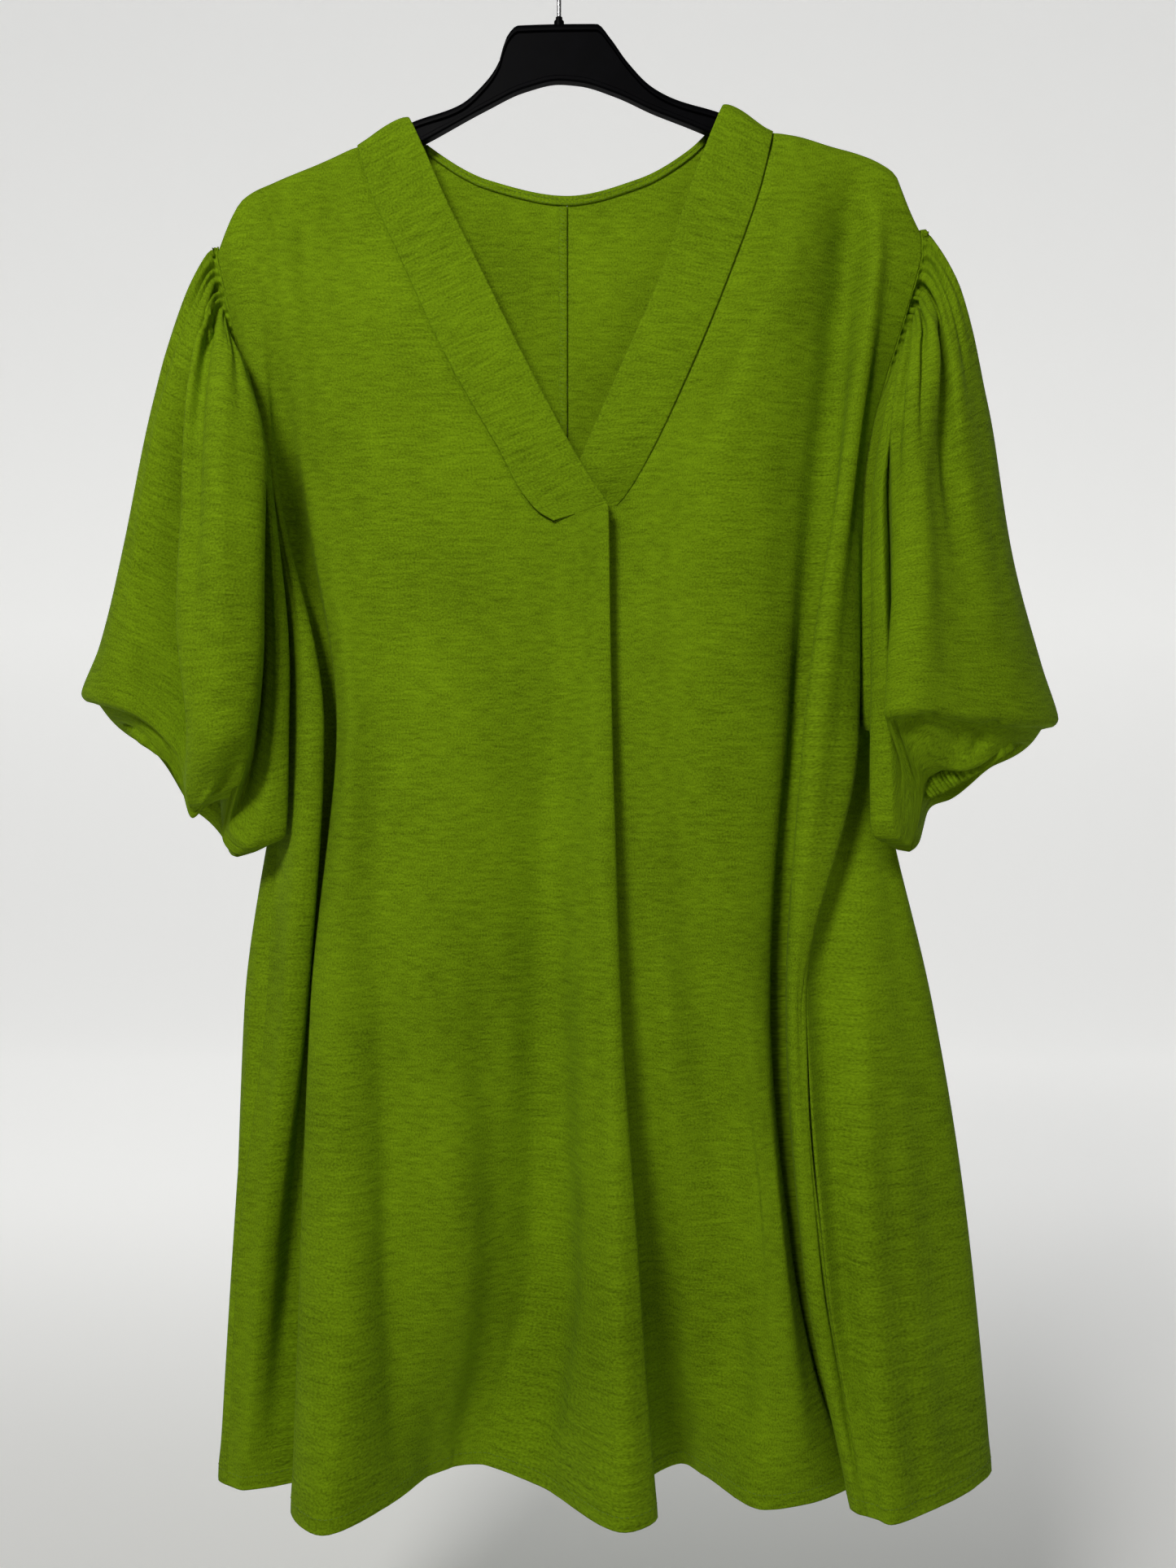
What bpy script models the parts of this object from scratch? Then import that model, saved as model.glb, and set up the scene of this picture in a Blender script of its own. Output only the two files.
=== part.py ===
"""A puff-sleeve blouse that hangs on a plastic hanger.

Metres, +Z up. The front of the blouse faces -Y and its left in the tables is at -X. The origin is
the inside of the hook's top, where a rod would carry the hanger.

The body is one ring of cloth. Its fold lines run from hem to shoulder, and each row of the fold
tables says where one of them lies at six heights. The front and back panels, the neck bands and
the armholes are all cut from that ring. Each sleeve is a tube from its armhole to its elastic
cuff, also led by a table of fold lines.
"""

import math
from collections import namedtuple

import bpy
import numpy as np
from mathutils import Vector

MM = 0.001

# Cloth
WALL = 0.0011
BAND_WALL = 0.0011
SEAM_GAP = 0.0003
SIDE_GAP = 0.0010
CLEAR = WALL + SEAM_GAP
NECK_OVERLAP = 0.000001

# Shoulder: the cloth rolls over the hanger and its seam lies a little in front of the top.
SHOULDER_ROLL = 0.013
SHOULDER_SEAM_OUT = 0.0015
SHOULDER_GAP = 0.0009

# Neck. One band laps over the other along the lowest part of its way up from the V.
BINDING_WIDTH = 0.006
BINDING_START = 0.0165
BAND_LAP = 0.0011
BAND_LAP_PART = 0.45
BAND_ROLL = 1.1
BAND_CLEAR = 0.0008

# Armholes: how much of the ring's side strip is cut away, and the height of its round foot.
ARMHOLE_SHARE = {1: 0.55, -1: 0.7}
ARMHOLE_FOOT = 0.045

# Sleeves. The cap runs up each armhole from its foot to the end of the shoulder.
SLEEVE_START = 0.0022
SLEEVE_TURN = 0.0042
CAP_FOOT_Z = -0.290
CAP_TOP_Z = {"left": -0.2075, "right": -0.1970}
GATHERS = 12
GATHER_DEPTH = 0.0013
GATHER_START = 0.02
GATHER_FULL = 0.07
GATHER_END = 0.5
BRIM = 0.005
BRIM_TURN_PART = 0.3
BRIM_FAR = 0.012
BRIM_FAR_PART = 0.65
CUFF_WIDTH = 0.013
CUFF_WAVES = 12
CUFF_WAVE_DEPTH = 0.0010
CUFF_INSET = 0.0016

# Hanger. The parts are shares of its height and of its rounded head.
HANGER_HALF = 0.0040
HANGER_WEB_HALF = 0.0024
HANGER_LIP_HALF = 0.0034
HANGER_HEAD_PART = 0.4
HANGER_LIP = 0.003
HANGER_LIP_PART = 0.22
HEAD_FLAT_PART = 0.7
HEAD_ROUND_PART = 0.3
HEAD_FILLET_PART = 1.15
LIP_FILLET_PART = 1.3
HOOK_WIRE = 0.0028
HOOK_RADIUS = 0.021
HOOK_FOOT_Z = -0.0649
HOOK_NECK_PART = 1.15
HOOK_START_DEG = -90
HOOK_STEP_DEG = 15
HOOK_STEPS = 17

# Where the cloth's top edges are looked for, and how often the span is halved
TOP_SEARCH_Z = (-0.45, -0.110)
HALVINGS = 40

# How finely the cloth is divided
COLUMNS_PER_FOLD = 2
PLEAT_COLUMNS = 3
COLUMN_STEP = 0.019
FRONT_CORNER = (0.006, 0.012, 0.025, 0.042)
BACK_CORNER = (0.006, 0.012)
BODY_ROWS = 8
YOKE_ROWS = 5
ROLL_ROWS = 3
BAND_ROWS = 22
BAND_COLUMNS = 3
BINDING_COLUMNS = 25
SLEEVE_COLUMNS = 48
SLEEVE_ROWS = (0.0, 0.02, 0.06, 0.12, 0.22, 0.35, 0.5, 0.65, 0.78, 0.88, 0.96, 1.0, 1.06, 1.15, 1.3)
HANGER_SECTIONS = 39

# Colours as (red, green, blue), then roughness and metallic
CLOTH = ((0.105, 0.205, 0.012), 0.85, 0.0)
CLOTH_BAND = ((0.115, 0.220, 0.014), 0.85, 0.0)
PLASTIC = ((0.012, 0.012, 0.014), 0.35, 0.0)
STEEL = ((0.62, 0.62, 0.63), 0.25, 1.0)

# Heights of the fold tables' columns, from hem to yoke, in millimetres
LEVELS = ("hem", "hip", "waist", "underarm", "chest", "yoke")
LEVEL_Z = (-979, -840, -690, -515, -370, -215)

Fold = namedtuple("Fold", "name across out")

# Across is to the right and out is towards the front, in millimetres, at each of LEVELS.
FRONT_FOLDS = (
    Fold("left seam", (-202, -198, -182, -177, -186, -223), (36, 28, 20, 2, 0, 0)),
    Fold("left ridge", (-190, -183, -168, -153, -178, -207), (42, 36, 32, 32, 16, 8)),
    Fold("left ridge edge", (-185, -174, -156, -145, -174, -195), (41, 30, 25, 27, 13, 11)),
    Fold("left valley", (-174, -170, -159, -151, -172, -188), (38, 14, 10, 11, 9, 12)),
    Fold("left valley end", (-156, -161, -155, -146, -167, -184), (30, 12, 10, 10, 10, 12)),
    Fold("front left edge", (-157, -155, -152, -139, -158, -178), (62, 46, 32, 15, 13, 12)),
    Fold("first crest", (-133, -127, -135, -128, -146, -166), (91, 63, 46, 27, 17, 12)),
    Fold("first trough", (-98, -101, -107, -112, -125, -148), (56, 46, 36, 23, 17, 12)),
    Fold("left neck point", (-79, -71, -82, -78, -85, -128), (24, 46, 41, 30, 21, 12)),
    Fold("centre trough", (-50, -18, -15, -8, -3, -10), (11, 26, 28, 23, 20, 13)),
    Fold("centre slope", (-11, 7, 7, 10, 14, 5), (37, 46, 40, 31, 22, 13)),
    Fold("centre crest", (40, 35, 31, 25, 25, 15), (88, 70, 55, 40, 24, 13)),
    Fold("pleat edge", (59, 48, 38, 33, 31, 22), (72, 64, 52, 38.5, 25, 15)),
    Fold("pleat return", (50, 39, 29, 24, 23, 15), (42, 50, 43, 31.5, 18, 9)),
    Fold("pleat floor", (77, 58, 46, 39, 37, 30), (10, 24, 32, 25.5, 12, 4)),
    Fold("right slope", (91, 82, 72, 58, 58, 70), (25, 33, 34, 31, 19, 12)),
    Fold("right neck point", (123, 125, 109, 82, 83, 136), (64, 50, 37, 32, 20, 12)),
    Fold("right fall", (153, 136, 125, 118, 125, 158), (56, 44, 30, 26, 15, 12)),
    Fold("right valley", (182, 152, 141, 153, 163, 182), (36, 20, 14, 12, 9, 11)),
    Fold("right ridge edge", (174, 149, 141, 154, 174, 196), (62, 44, 32, 26, 16, 11)),
    Fold("right ridge", (178, 154, 146, 165, 180, 204), (69, 51, 38, 33, 19, 10)),
    Fold("right ridge end", (180, 158, 151, 187, 188, 218), (70, 53, 37, 22, 12, 7)),
)
BACK_FOLDS = (
    Fold("right seam", (182, 161, 153, 190, 196, 241), (71, 53, 33, 3, 0, 0)),
    Fold("right hollow", (188, 171, 166, 194, 193, 222), (75, 46, 22, -3, -6, -5)),
    Fold("right back crease", (194, 184, 187, 198, 188, 216), (80, 56, 30, -6, -10, -8)),
    Fold("right back slope", (225, 220, 213, 201, 183, 208), (62, 40, 20, -8, -12, -10)),
    Fold("right back fall", (256, 245, 231, 202, 178, 199), (37, 22, 10, -10, -13, -11)),
    Fold("right side", (271, 260, 238, 199, 173, 191), (15, 4, -2, -13, -13.5, -11.5)),
    Fold("right corner", (262, 250, 230, 190, 165, 183), (-16, -18, -16, -15, -14, -12)),
    Fold("back crest 1", (222, 215, 200, 172, 148, 165), (-36, -31, -24, -19, -15, -11)),
    Fold("back trough 1", (180, 175, 165, 142, 124, 145), (-20, -20, -18, -16, -14, -11)),
    Fold("back crest 2", (138, 135, 125, 108, 100, 105), (-38, -32, -25, -20, -16, -11)),
    Fold("back trough 2", (90, 88, 82, 72, 64, 75), (-18, -18, -17, -16, -14, -11)),
    Fold("back crest 3", (48, 46, 43, 38, 34, 38), (-36, -30, -24, -19, -15, -11)),
    Fold("centre back", (5, 5, 5, 5, 5, 5), (-26, -23, -20, -17, -14, -11)),
    Fold("back crest 4", (-36, -35, -33, -30, -27, -28), (-38, -32, -25, -19, -15, -11)),
    Fold("back trough 3", (-78, -76, -72, -64, -56, -65), (-19, -19, -18, -16, -14, -11)),
    Fold("back crest 5", (-120, -117, -112, -100, -92, -97), (-37, -31, -25, -19, -15, -11)),
    Fold("back trough 4", (-160, -156, -150, -138, -122, -140), (-22, -21, -19, -16, -14, -11)),
    Fold("left corner", (-198, -192, -187, -173, -168, -184), (-24, -22, -19, -15, -13, -11)),
    Fold("left side", (-212, -205, -200, -180, -178, -199), (10, 8, 4, -10, -12, -10)),
    Fold("left hollow", (-209, -203, -194, -180, -184, -213), (30, 22, 14, -3, -6, -6)),
)

# Lines of the top edges, each point as (across, height) in millimetres
SHOULDER_LINE = (
    (-220, -219), (-215.5, -207.5), (-212, -198.5), (-208, -189.5), (-201, -178.5),
    (-180, -167.5), (-149, -154.5), (-128, -144.5), (-96, -126.5), (105, -118.5), (136, -135.5),
    (152, -138.5), (172, -144.5), (190, -149.5), (208, -157.5), (214, -162.5), (218, -172),
    (222, -182), (229, -197), (236, -209),
)
LEFT_NECK_SEAM = ((-3, -386), (-13, -380), (-39, -338), (-71, -281), (-101, -216), (-117, -180),
                  (-128, -144.5))
RIGHT_NECK_SEAM = ((37, -374), (43, -367), (57, -344), (77, -302), (105, -235), (128, -170),
                   (136, -135.5))
LEFT_BAND_EDGE = ((31, -376), (13, -348), (-19, -288), (-55, -214), (-71, -182), (-85, -150),
                  (-96, -126.5))
RIGHT_BAND_EDGE = ((-2, -385), (14, -346), (41, -284), (66, -226), (86, -166), (96, -140),
                   (105, -118.5))
BACK_NECK = ((-96, -126.5), (-84, -138), (-45, -160), (5, -170), (51, -159), (84, -140),
             (105, -118.5))

# Sleeve fold lines. Turn is the place round the sleeve in degrees, from the underarm over the
# front. Head, upper, lower, lip and brim are (across, out) on the way down, and drop is the
# height of the brim, all in millimetres.
SleeveFold = namedtuple("SleeveFold", "name turn head upper lower lip brim drop")
SLEEVE_HEAD_STATIONS = (0.0, 0.02)
SLEEVE_STATIONS = (0.12, 0.35, 0.65, 0.88, 0.96)
SLEEVE_UNDER_STATIONS = (1.0, 1.06, 1.3)

LEFT_SLEEVE = (
    SleeveFold("underarm", 0, None, None, None, (-183, 14), (-187, 17), -590),
    SleeveFold("seam roll", 7.5, (-193, 13), (-186, 20), (-181, 22), (-177, 22), (-176, 24), -588),
    SleeveFold("inner edge", 15, (-186, 20), (-174, 28), (-165, 33), (-166, 32), (-168, 30), -585),
    SleeveFold("inner fold", 30, (-189, 27), (-176, 36), (-171, 40), (-177, 40), (-186, 38), -590),
    SleeveFold("inner crease", 45, (-198, 21), (-186, 27), (-182, 29), (-189, 30), (-201, 32), -578),
    SleeveFold("middle in", 60, (-190, 36), (-174, 55), (-174, 62), (-180, 61), (-189, 53), -551),
    SleeveFold("middle fold", 82.5, (-199, 45), (-197, 70), (-197, 76), (-198, 76), (-206, 53), -558),
    SleeveFold("middle out", 105, (-219, 38), (-222, 57), (-225, 62), (-219, 62), (-223, 47), -563),
    SleeveFold("outer crease", 120, (-218, 28), (-218, 27), (-220, 28), (-223, 34), (-231, 40), -536),
    SleeveFold("outer fold", 142.5, (-228, 24), (-245, 33), (-257, 37), (-261, 41), (-262, 41), -508),
    SleeveFold("outer side", 180, (-236, 6), (-255, 6), (-273, 6), (-290, 6), (-302, 6), -498),
    SleeveFold("outer back", 217.5, (-228, -14), (-243, -23), (-256, -27), (-267, -27), (-274, -25),
               -512),
    SleeveFold("back crease", 240, (-217, -12), (-224, -14), (-232, -15), (-245, -17), (-258, -18),
               -530),
    SleeveFold("middle back", 277.5, (-207, -15), (-205, -29), (-208, -34), (-224, -33), (-240, -26),
               -564),
    SleeveFold("inner back", 322.5, (-197, -12), (-191, -20), (-191, -24), (-209, -26), (-218, -24),
               -583),
    SleeveFold("underarm", 360, None, None, None, (-183, 14), (-187, 17), -590),
)
RIGHT_SLEEVE = (
    SleeveFold("underarm", 0, None, None, None, (202, 18), (205, 21), -586),
    SleeveFold("seam roll", 7.5, (203, 16), (199, 20), (196, 20), (197, 25), (198, 26), -586),
    SleeveFold("inner edge", 15, (203, 20), (194, 27), (193, 32), (192, 32), (193, 32), -584),
    SleeveFold("inner fold", 30, (207, 27), (198, 37), (200, 42), (203, 40), (205, 38), -584),
    SleeveFold("inner crease", 45, (211, 28), (205, 29), (206, 29), (209, 35), (211, 35), -550),
    SleeveFold("upper in", 60, (210, 38), (200, 54), (200, 58), (197, 57), (196, 55), -512),
    SleeveFold("upper fold", 82.5, (219, 45), (214, 65), (216, 69), (215, 69), (213, 67), -509),
    SleeveFold("soft trough", 105, (232, 36), (231, 50), (238, 54), (242, 57), (244, 57), -512),
    SleeveFold("outer fold", 142.5, (245, 24), (253, 40), (263, 45), (275, 45), (282, 42), -515),
    SleeveFold("outer side", 180, (254, 6), (271, 6), (286, 6), (305.5, 6), (316, 6), -514),
    SleeveFold("outer back", 217.5, (245, -15), (257, -25), (268, -29), (281, -29), (288, -27), -524),
    SleeveFold("back crease", 240, (233, -12), (236, -14), (242, -16), (252, -16), (258, -16), -538),
    SleeveFold("middle back", 277.5, (219, -15), (216, -29), (224, -34), (238, -33), (245, -30), -556),
    SleeveFold("inner back", 322.5, (207, -12), (203, -19), (214, -18), (232, -12), (236, -10), -572),
    SleeveFold("underarm", 360, None, None, None, (202, 18), (205, 21), -586),
)

# Elastic cuffs: the middle of the ring in millimetres, its half length and half depth, and the
# tilt of its long way in degrees, outer end up. The angle table says where round the ring the
# sleeve's turns end: more of the front's cloth is drawn towards the body.
CUFF_TURNS = (0, 45, 60, 120, 180, 277.5, 360)
CUFF_ANGLES = (0, 28, 40, 78, 180, 277.5, 360)
Cuff = namedtuple("Cuff", "across out height half_long half_deep tilt")
LEFT_CUFF = Cuff(-236, 14, -524, 35, 18, 34)
RIGHT_CUFF = Cuff(254, 15, -531, 34, 18, 31)

# Hanger outline: the top and bottom edges, each point as (across, height) in millimetres
HANGER_TOP = (
    (-203, -185), (-180, -169.5), (-149, -156), (-128, -146), (-93, -127.5), (-63, -116.5),
    (-49, -104.5), (-38, -88.5), (-34, -74.5), (-26, -66), (24, -65), (33, -74.5),
    (43, -88.5), (59, -105), (74, -113), (102, -121.5), (136, -137), (172, -146.2),
    (208, -160.5), (213, -167),
)
HANGER_BOTTOM = (
    (-203, -194), (-180, -184), (-149, -170), (-128, -160), (-89, -142), (-47, -119),
    (-22, -107), (0, -102), (13, -103), (36, -110), (60, -121), (83, -130), (95, -135),
    (136, -152), (172, -161), (208, -172), (213, -176),
)


def curve(knots, values, at):
    """A smooth line through values that never swings past them. Each row of values has its own at."""
    knots = np.asarray(knots, float)
    values = np.atleast_2d(np.asarray(values, float))
    at = np.clip(np.atleast_1d(np.asarray(at, float)), knots[0], knots[-1])
    values = np.broadcast_to(values, (len(at), len(knots)))
    step = np.diff(knots)
    rise = np.diff(values, axis=1) / step
    slope = np.empty_like(values)
    slope[:, 0] = rise[:, 0]
    slope[:, -1] = rise[:, -1]
    before = rise[:, :-1]
    after = rise[:, 1:]
    heavy_after = 2 * step[1:] + step[:-1]
    heavy_before = step[1:] + 2 * step[:-1]
    same_way = before * after > 0
    safe_before = np.where(same_way, before, 1)
    safe_after = np.where(same_way, after, 1)
    mean = (heavy_after + heavy_before) / (heavy_after / safe_before + heavy_before / safe_after)
    slope[:, 1:-1] = np.where(same_way, mean, 0)
    span = np.clip(np.searchsorted(knots, at, side="right") - 1, 0, len(knots) - 2)
    row = np.arange(len(at))
    width = step[span]
    part = (at - knots[span]) / width
    low = values[row, span]
    high = values[row, span + 1]
    low_slope = slope[row, span] * width
    high_slope = slope[row, span + 1] * width
    return (
        low * (1 + 2 * part) * (1 - part) ** 2
        + low_slope * part * (1 - part) ** 2
        + high * part * part * (3 - 2 * part)
        + high_slope * part * part * (part - 1)
    )


def line_height(points, across):
    """The height of a line of (across, height) points."""
    table = np.array(sorted(points), float) * MM
    return curve(table[:, 0], table[:, 1], across)


def line_across(points, height):
    """The place across of a line of (across, height) points that climbs all the way."""
    table = np.array(sorted(points, key=lambda point: point[1]), float) * MM
    return curve(table[:, 1], table[:, 0], height)


class Ring:
    """The body's ring of cloth, and where each fold line lies in it."""

    def __init__(self):
        self.folds = FRONT_FOLDS + BACK_FOLDS
        self.across = np.array([fold.across for fold in self.folds]) * MM
        self.out = np.array([fold.out for fold in self.folds]) * MM
        self.heights = np.array(LEVEL_Z) * MM
        steps = np.hypot(
            np.roll(self.across, -1, axis=0) - self.across,
            np.roll(self.out, -1, axis=0) - self.out,
        )
        self.steps = steps.max(axis=1)
        ways = np.cumsum(steps / steps.sum(axis=0), axis=0).mean(axis=1)
        self.places = np.concatenate([[0.0], ways])
        self.names = [fold.name for fold in self.folds]

    def place(self, name):
        return self.places[self.names.index(name)]

    def point(self, place, height):
        """Across and out of the ring at each place round it and each height."""
        place = np.atleast_1d(np.asarray(place, float)) % 1.0
        height = np.broadcast_to(np.atleast_1d(np.asarray(height, float)), place.shape)
        wrap = 3
        order = np.arange(-wrap, len(self.folds) + wrap + 1)
        turns, index = np.divmod(order, len(self.folds))
        knots = self.places[index] + turns
        found = []
        for table in (self.across, self.out):
            lines = np.stack([curve(self.heights, row, height) for row in table], axis=1)
            found.append(curve(knots, lines[:, index], place))
        return found[0], found[1]


def closing(across, height):
    """How far the cloth still stands from the shoulder seam: 1 below the roll and 0 at the seam."""
    top = line_height(SHOULDER_LINE, across)
    part = np.clip((height - (top - SHOULDER_ROLL)) / SHOULDER_ROLL, 0, 1)
    return np.sqrt(1 - part * part)


def body_point(ring, place, height, face):
    """A point of the body cloth as (x, y, z). Face is 1 at the front and -1 at the back."""
    across, out = ring.point(place, height)
    rest = SHOULDER_SEAM_OUT + face * SHOULDER_GAP / 2
    out = rest + (out - rest) * closing(across, height)
    return np.stack([across, -out, np.broadcast_to(height, across.shape)], axis=-1)


def turning_point(test, low, high):
    """The height or place, found by halving, at which test turns from false to true."""
    low = np.array(low, float)
    high = np.array(high, float)
    for _ in range(HALVINGS):
        middle = (low + high) / 2
        reached = test(middle)
        high = np.where(reached, middle, high)
        low = np.where(reached, low, middle)
    return (low + high) / 2


def armhole_cut(face, height):
    """The share of the side strip that the armhole takes at this height."""
    foot = LEVEL_Z[LEVELS.index("underarm")] * MM
    part = np.clip((height - foot) / ARMHOLE_FOOT, 0, 1)
    return ARMHOLE_SHARE[face] * np.sqrt(1 - (1 - part) ** 2)


def side_place(ring, side, face, height):
    """The place round the ring of a panel's edge: the side seam, and the armhole above it."""
    seam, neighbour = {
        ("left", 1): (0.0, ring.place("left ridge")),
        ("left", -1): (1.0, ring.place("left hollow")),
        ("right", 1): (ring.place("right seam"), ring.place("right ridge end")),
        ("right", -1): (ring.place("right seam"), ring.place("right back crease")),
    }[side, face]
    return seam + (neighbour - seam) * armhole_cut(face, height)


def spread(ring, first, last, corners, extras):
    """Places from one fold line to another, closer together where the folds are tight. Corners
    are (fold line, way) pairs: the cloth is cut away on that side of the fold line, and gets
    extra columns at these distances from it."""
    names = ring.names + [ring.names[0]]
    start = names.index(first)
    end = len(names) - 1 if last == names[0] else names.index(last)
    places = []
    for index in range(start, end):
        count = max(COLUMNS_PER_FOLD, math.ceil(ring.steps[index] / COLUMN_STEP))
        if names[index].startswith("pleat"):
            count = PLEAT_COLUMNS
        places.extend(np.linspace(ring.places[index], ring.places[index + 1], count, endpoint=False))
    places.append(ring.places[end])
    for corner, way in corners:
        index = ring.names.index(corner)
        near = index if way > 0 else index - 1
        step = (ring.places[near + 1] - ring.places[near]) / ring.steps[near]
        places.extend(ring.places[index] + way * extra * step for extra in extras)
    return np.array(sorted(places))


def panel_heights(tops):
    """Rows from the hem to the armholes' foot, on to each column's top and round the shoulder."""
    hem = LEVEL_Z[0] * MM
    foot = LEVEL_Z[LEVELS.index("underarm")] * MM
    level = np.linspace(hem, foot, BODY_ROWS)[:, None] + 0 * tops
    straight = np.linspace(0, 1, YOKE_ROWS + 1)[1:, None]
    rolled = np.sin(np.linspace(0, math.pi / 2, ROLL_ROWS + 1)[1:])[:, None]
    lower = foot + (tops - SHOULDER_ROLL - foot) * straight
    upper = tops - SHOULDER_ROLL + SHOULDER_ROLL * rolled
    return np.concatenate([level, lower, upper])


def squeeze(places, ring, height, first, last, face):
    """Moves the columns beside an armhole so that the panel ends on its edge at this height."""
    moved = np.array(places)
    for side, end in ((first, 0), (last, -1)):
        if side is None:
            continue
        edge = side_place(ring, side, face, height)
        seam = places[end]
        neighbour = {0: 1, -1: -1}[end]
        fold = seam + (side_place(ring, side, face, np.array([0.0])) - seam) / ARMHOLE_SHARE[face]
        inside = (places - seam) * neighbour <= (fold - seam) * neighbour
        part = (places - seam) / (fold - seam)
        moved = np.where(inside, edge + (fold - edge) * part, moved)
    return moved


def panel_grid(ring, places, first, last, face, necks):
    """Rows of points from hem to top for a panel. Necks are (from, to, line) stretches of its top."""
    low = np.full(len(places), TOP_SEARCH_Z[0])
    high = np.full(len(places), TOP_SEARCH_Z[1])

    def over(height):
        where = np.array([
            squeeze(places, ring, np.array([one]), first, last, face)[index]
            for index, one in enumerate(height)
        ])
        across, _ = ring.point(where, height)
        reached = height >= line_height(SHOULDER_LINE, across)
        for start, end, inside in necks:
            chosen = (places > start) & (places < end)
            reached = np.where(chosen, inside(across, height), reached)
        return reached

    tops = turning_point(over, low, high)
    rows = []
    for height in panel_heights(tops):
        where = np.array([
            squeeze(places, ring, np.array([one]), first, last, face)[index]
            for index, one in enumerate(height)
        ])
        rows.append(body_point(ring, where, height, face))
    return np.array(rows)


def left_of_neck(across, height):
    return across >= line_across(LEFT_NECK_SEAM, height)


def right_of_neck(across, height):
    return across <= line_across(RIGHT_NECK_SEAM, height)


def below_neck(across, height):
    base = (LEFT_NECK_SEAM[0], RIGHT_NECK_SEAM[0])
    return height >= line_height(base, across)


def over_back_neck(across, height):
    return height >= line_height(BACK_NECK, across)


def pull_back(grid, rows=True):
    """Shortens a grid by half the gap of its seams, at its sides and at its top."""
    grid = grid.copy()
    for end, inner in ((0, 1), (-1, -2)):
        way = grid[:, inner] - grid[:, end]
        grid[:, end] += way / np.linalg.norm(way, axis=1, keepdims=True) * SIDE_GAP / 2
    if rows:
        way = grid[-2] - grid[-1]
        grid[-1] += way / np.linalg.norm(way, axis=1, keepdims=True) * SEAM_GAP / 2
    return grid


def front_grid(ring):
    corners = (("left neck point", 1), ("right neck point", -1))
    places = spread(ring, "left seam", "right seam", corners, FRONT_CORNER)
    left = ring.place("left neck point")
    right = ring.place("right neck point")
    base_left = ring.place("centre trough")
    base_right = ring.place("pleat floor")
    necks = (
        (left, base_left, left_of_neck),
        (base_left - NECK_OVERLAP, base_right + NECK_OVERLAP, below_neck),
        (base_right, right, right_of_neck),
    )
    return panel_grid(ring, places, "left", "right", 1, necks)


def back_grid(ring, side):
    if side == "right":
        corners = (("back crest 2", 1),)
        places = spread(ring, "right seam", "centre back", corners, BACK_CORNER)
        neck = (ring.place("back crest 2"), 1.0, over_back_neck)
        return panel_grid(ring, places, "right", None, -1, (neck,))
    places = spread(ring, "centre back", "left seam", (("back crest 5", -1),), BACK_CORNER)
    neck = (0.0, ring.place("back crest 5"), over_back_neck)
    return panel_grid(ring, places, None, "left", -1, (neck,))


def surface_object(name, points, faces, wall, finish):
    """A sheet of cloth from points and faces, given its wall."""
    mesh = bpy.data.meshes.new(name)
    mesh.from_pydata([tuple(point) for point in points], [], faces)
    mesh.update()
    mesh.shade_smooth()
    piece = bpy.data.objects.new(name, mesh)
    bpy.context.scene.collection.objects.link(piece)
    if wall:
        solid = piece.modifiers.new("wall", "SOLIDIFY")
        solid.thickness = wall
        solid.offset = 0.0
    mesh.materials.append(finish)
    return piece


def grid_faces(rows, columns, closed=False):
    """Faces of a grid of points, joined end to end round its rows if closed."""
    faces = []
    for row in range(rows - 1):
        for column in range(columns if closed else columns - 1):
            after = (column + 1) % columns
            low = row * columns
            high = low + columns
            faces.append((low + column, low + after, high + after, high + column))
    return faces


def cloth(name, grid, finish, wall=WALL, closed=False):
    rows, columns = grid.shape[:2]
    return surface_object(
        name, grid.reshape(-1, 3), grid_faces(rows, columns, closed), wall, finish
    )


def build_body(ring, finish):
    cloth("front", pull_back(front_grid(ring)), finish)
    for side in ("right", "left"):
        cloth("back_" + side, pull_back(back_grid(ring, side), rows=False), finish)


def place_across(ring, first, last, across, height):
    """The place between two fold lines at which the ring lies this far across."""
    low = np.full(len(across), ring.place(first))
    high = np.full(len(across), ring.place(last))
    rising = ring.point(high, height)[0] > ring.point(low, height)[0]

    def over(place):
        return (ring.point(place, height)[0] >= across) == rising

    return turning_point(over, low, high)


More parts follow.
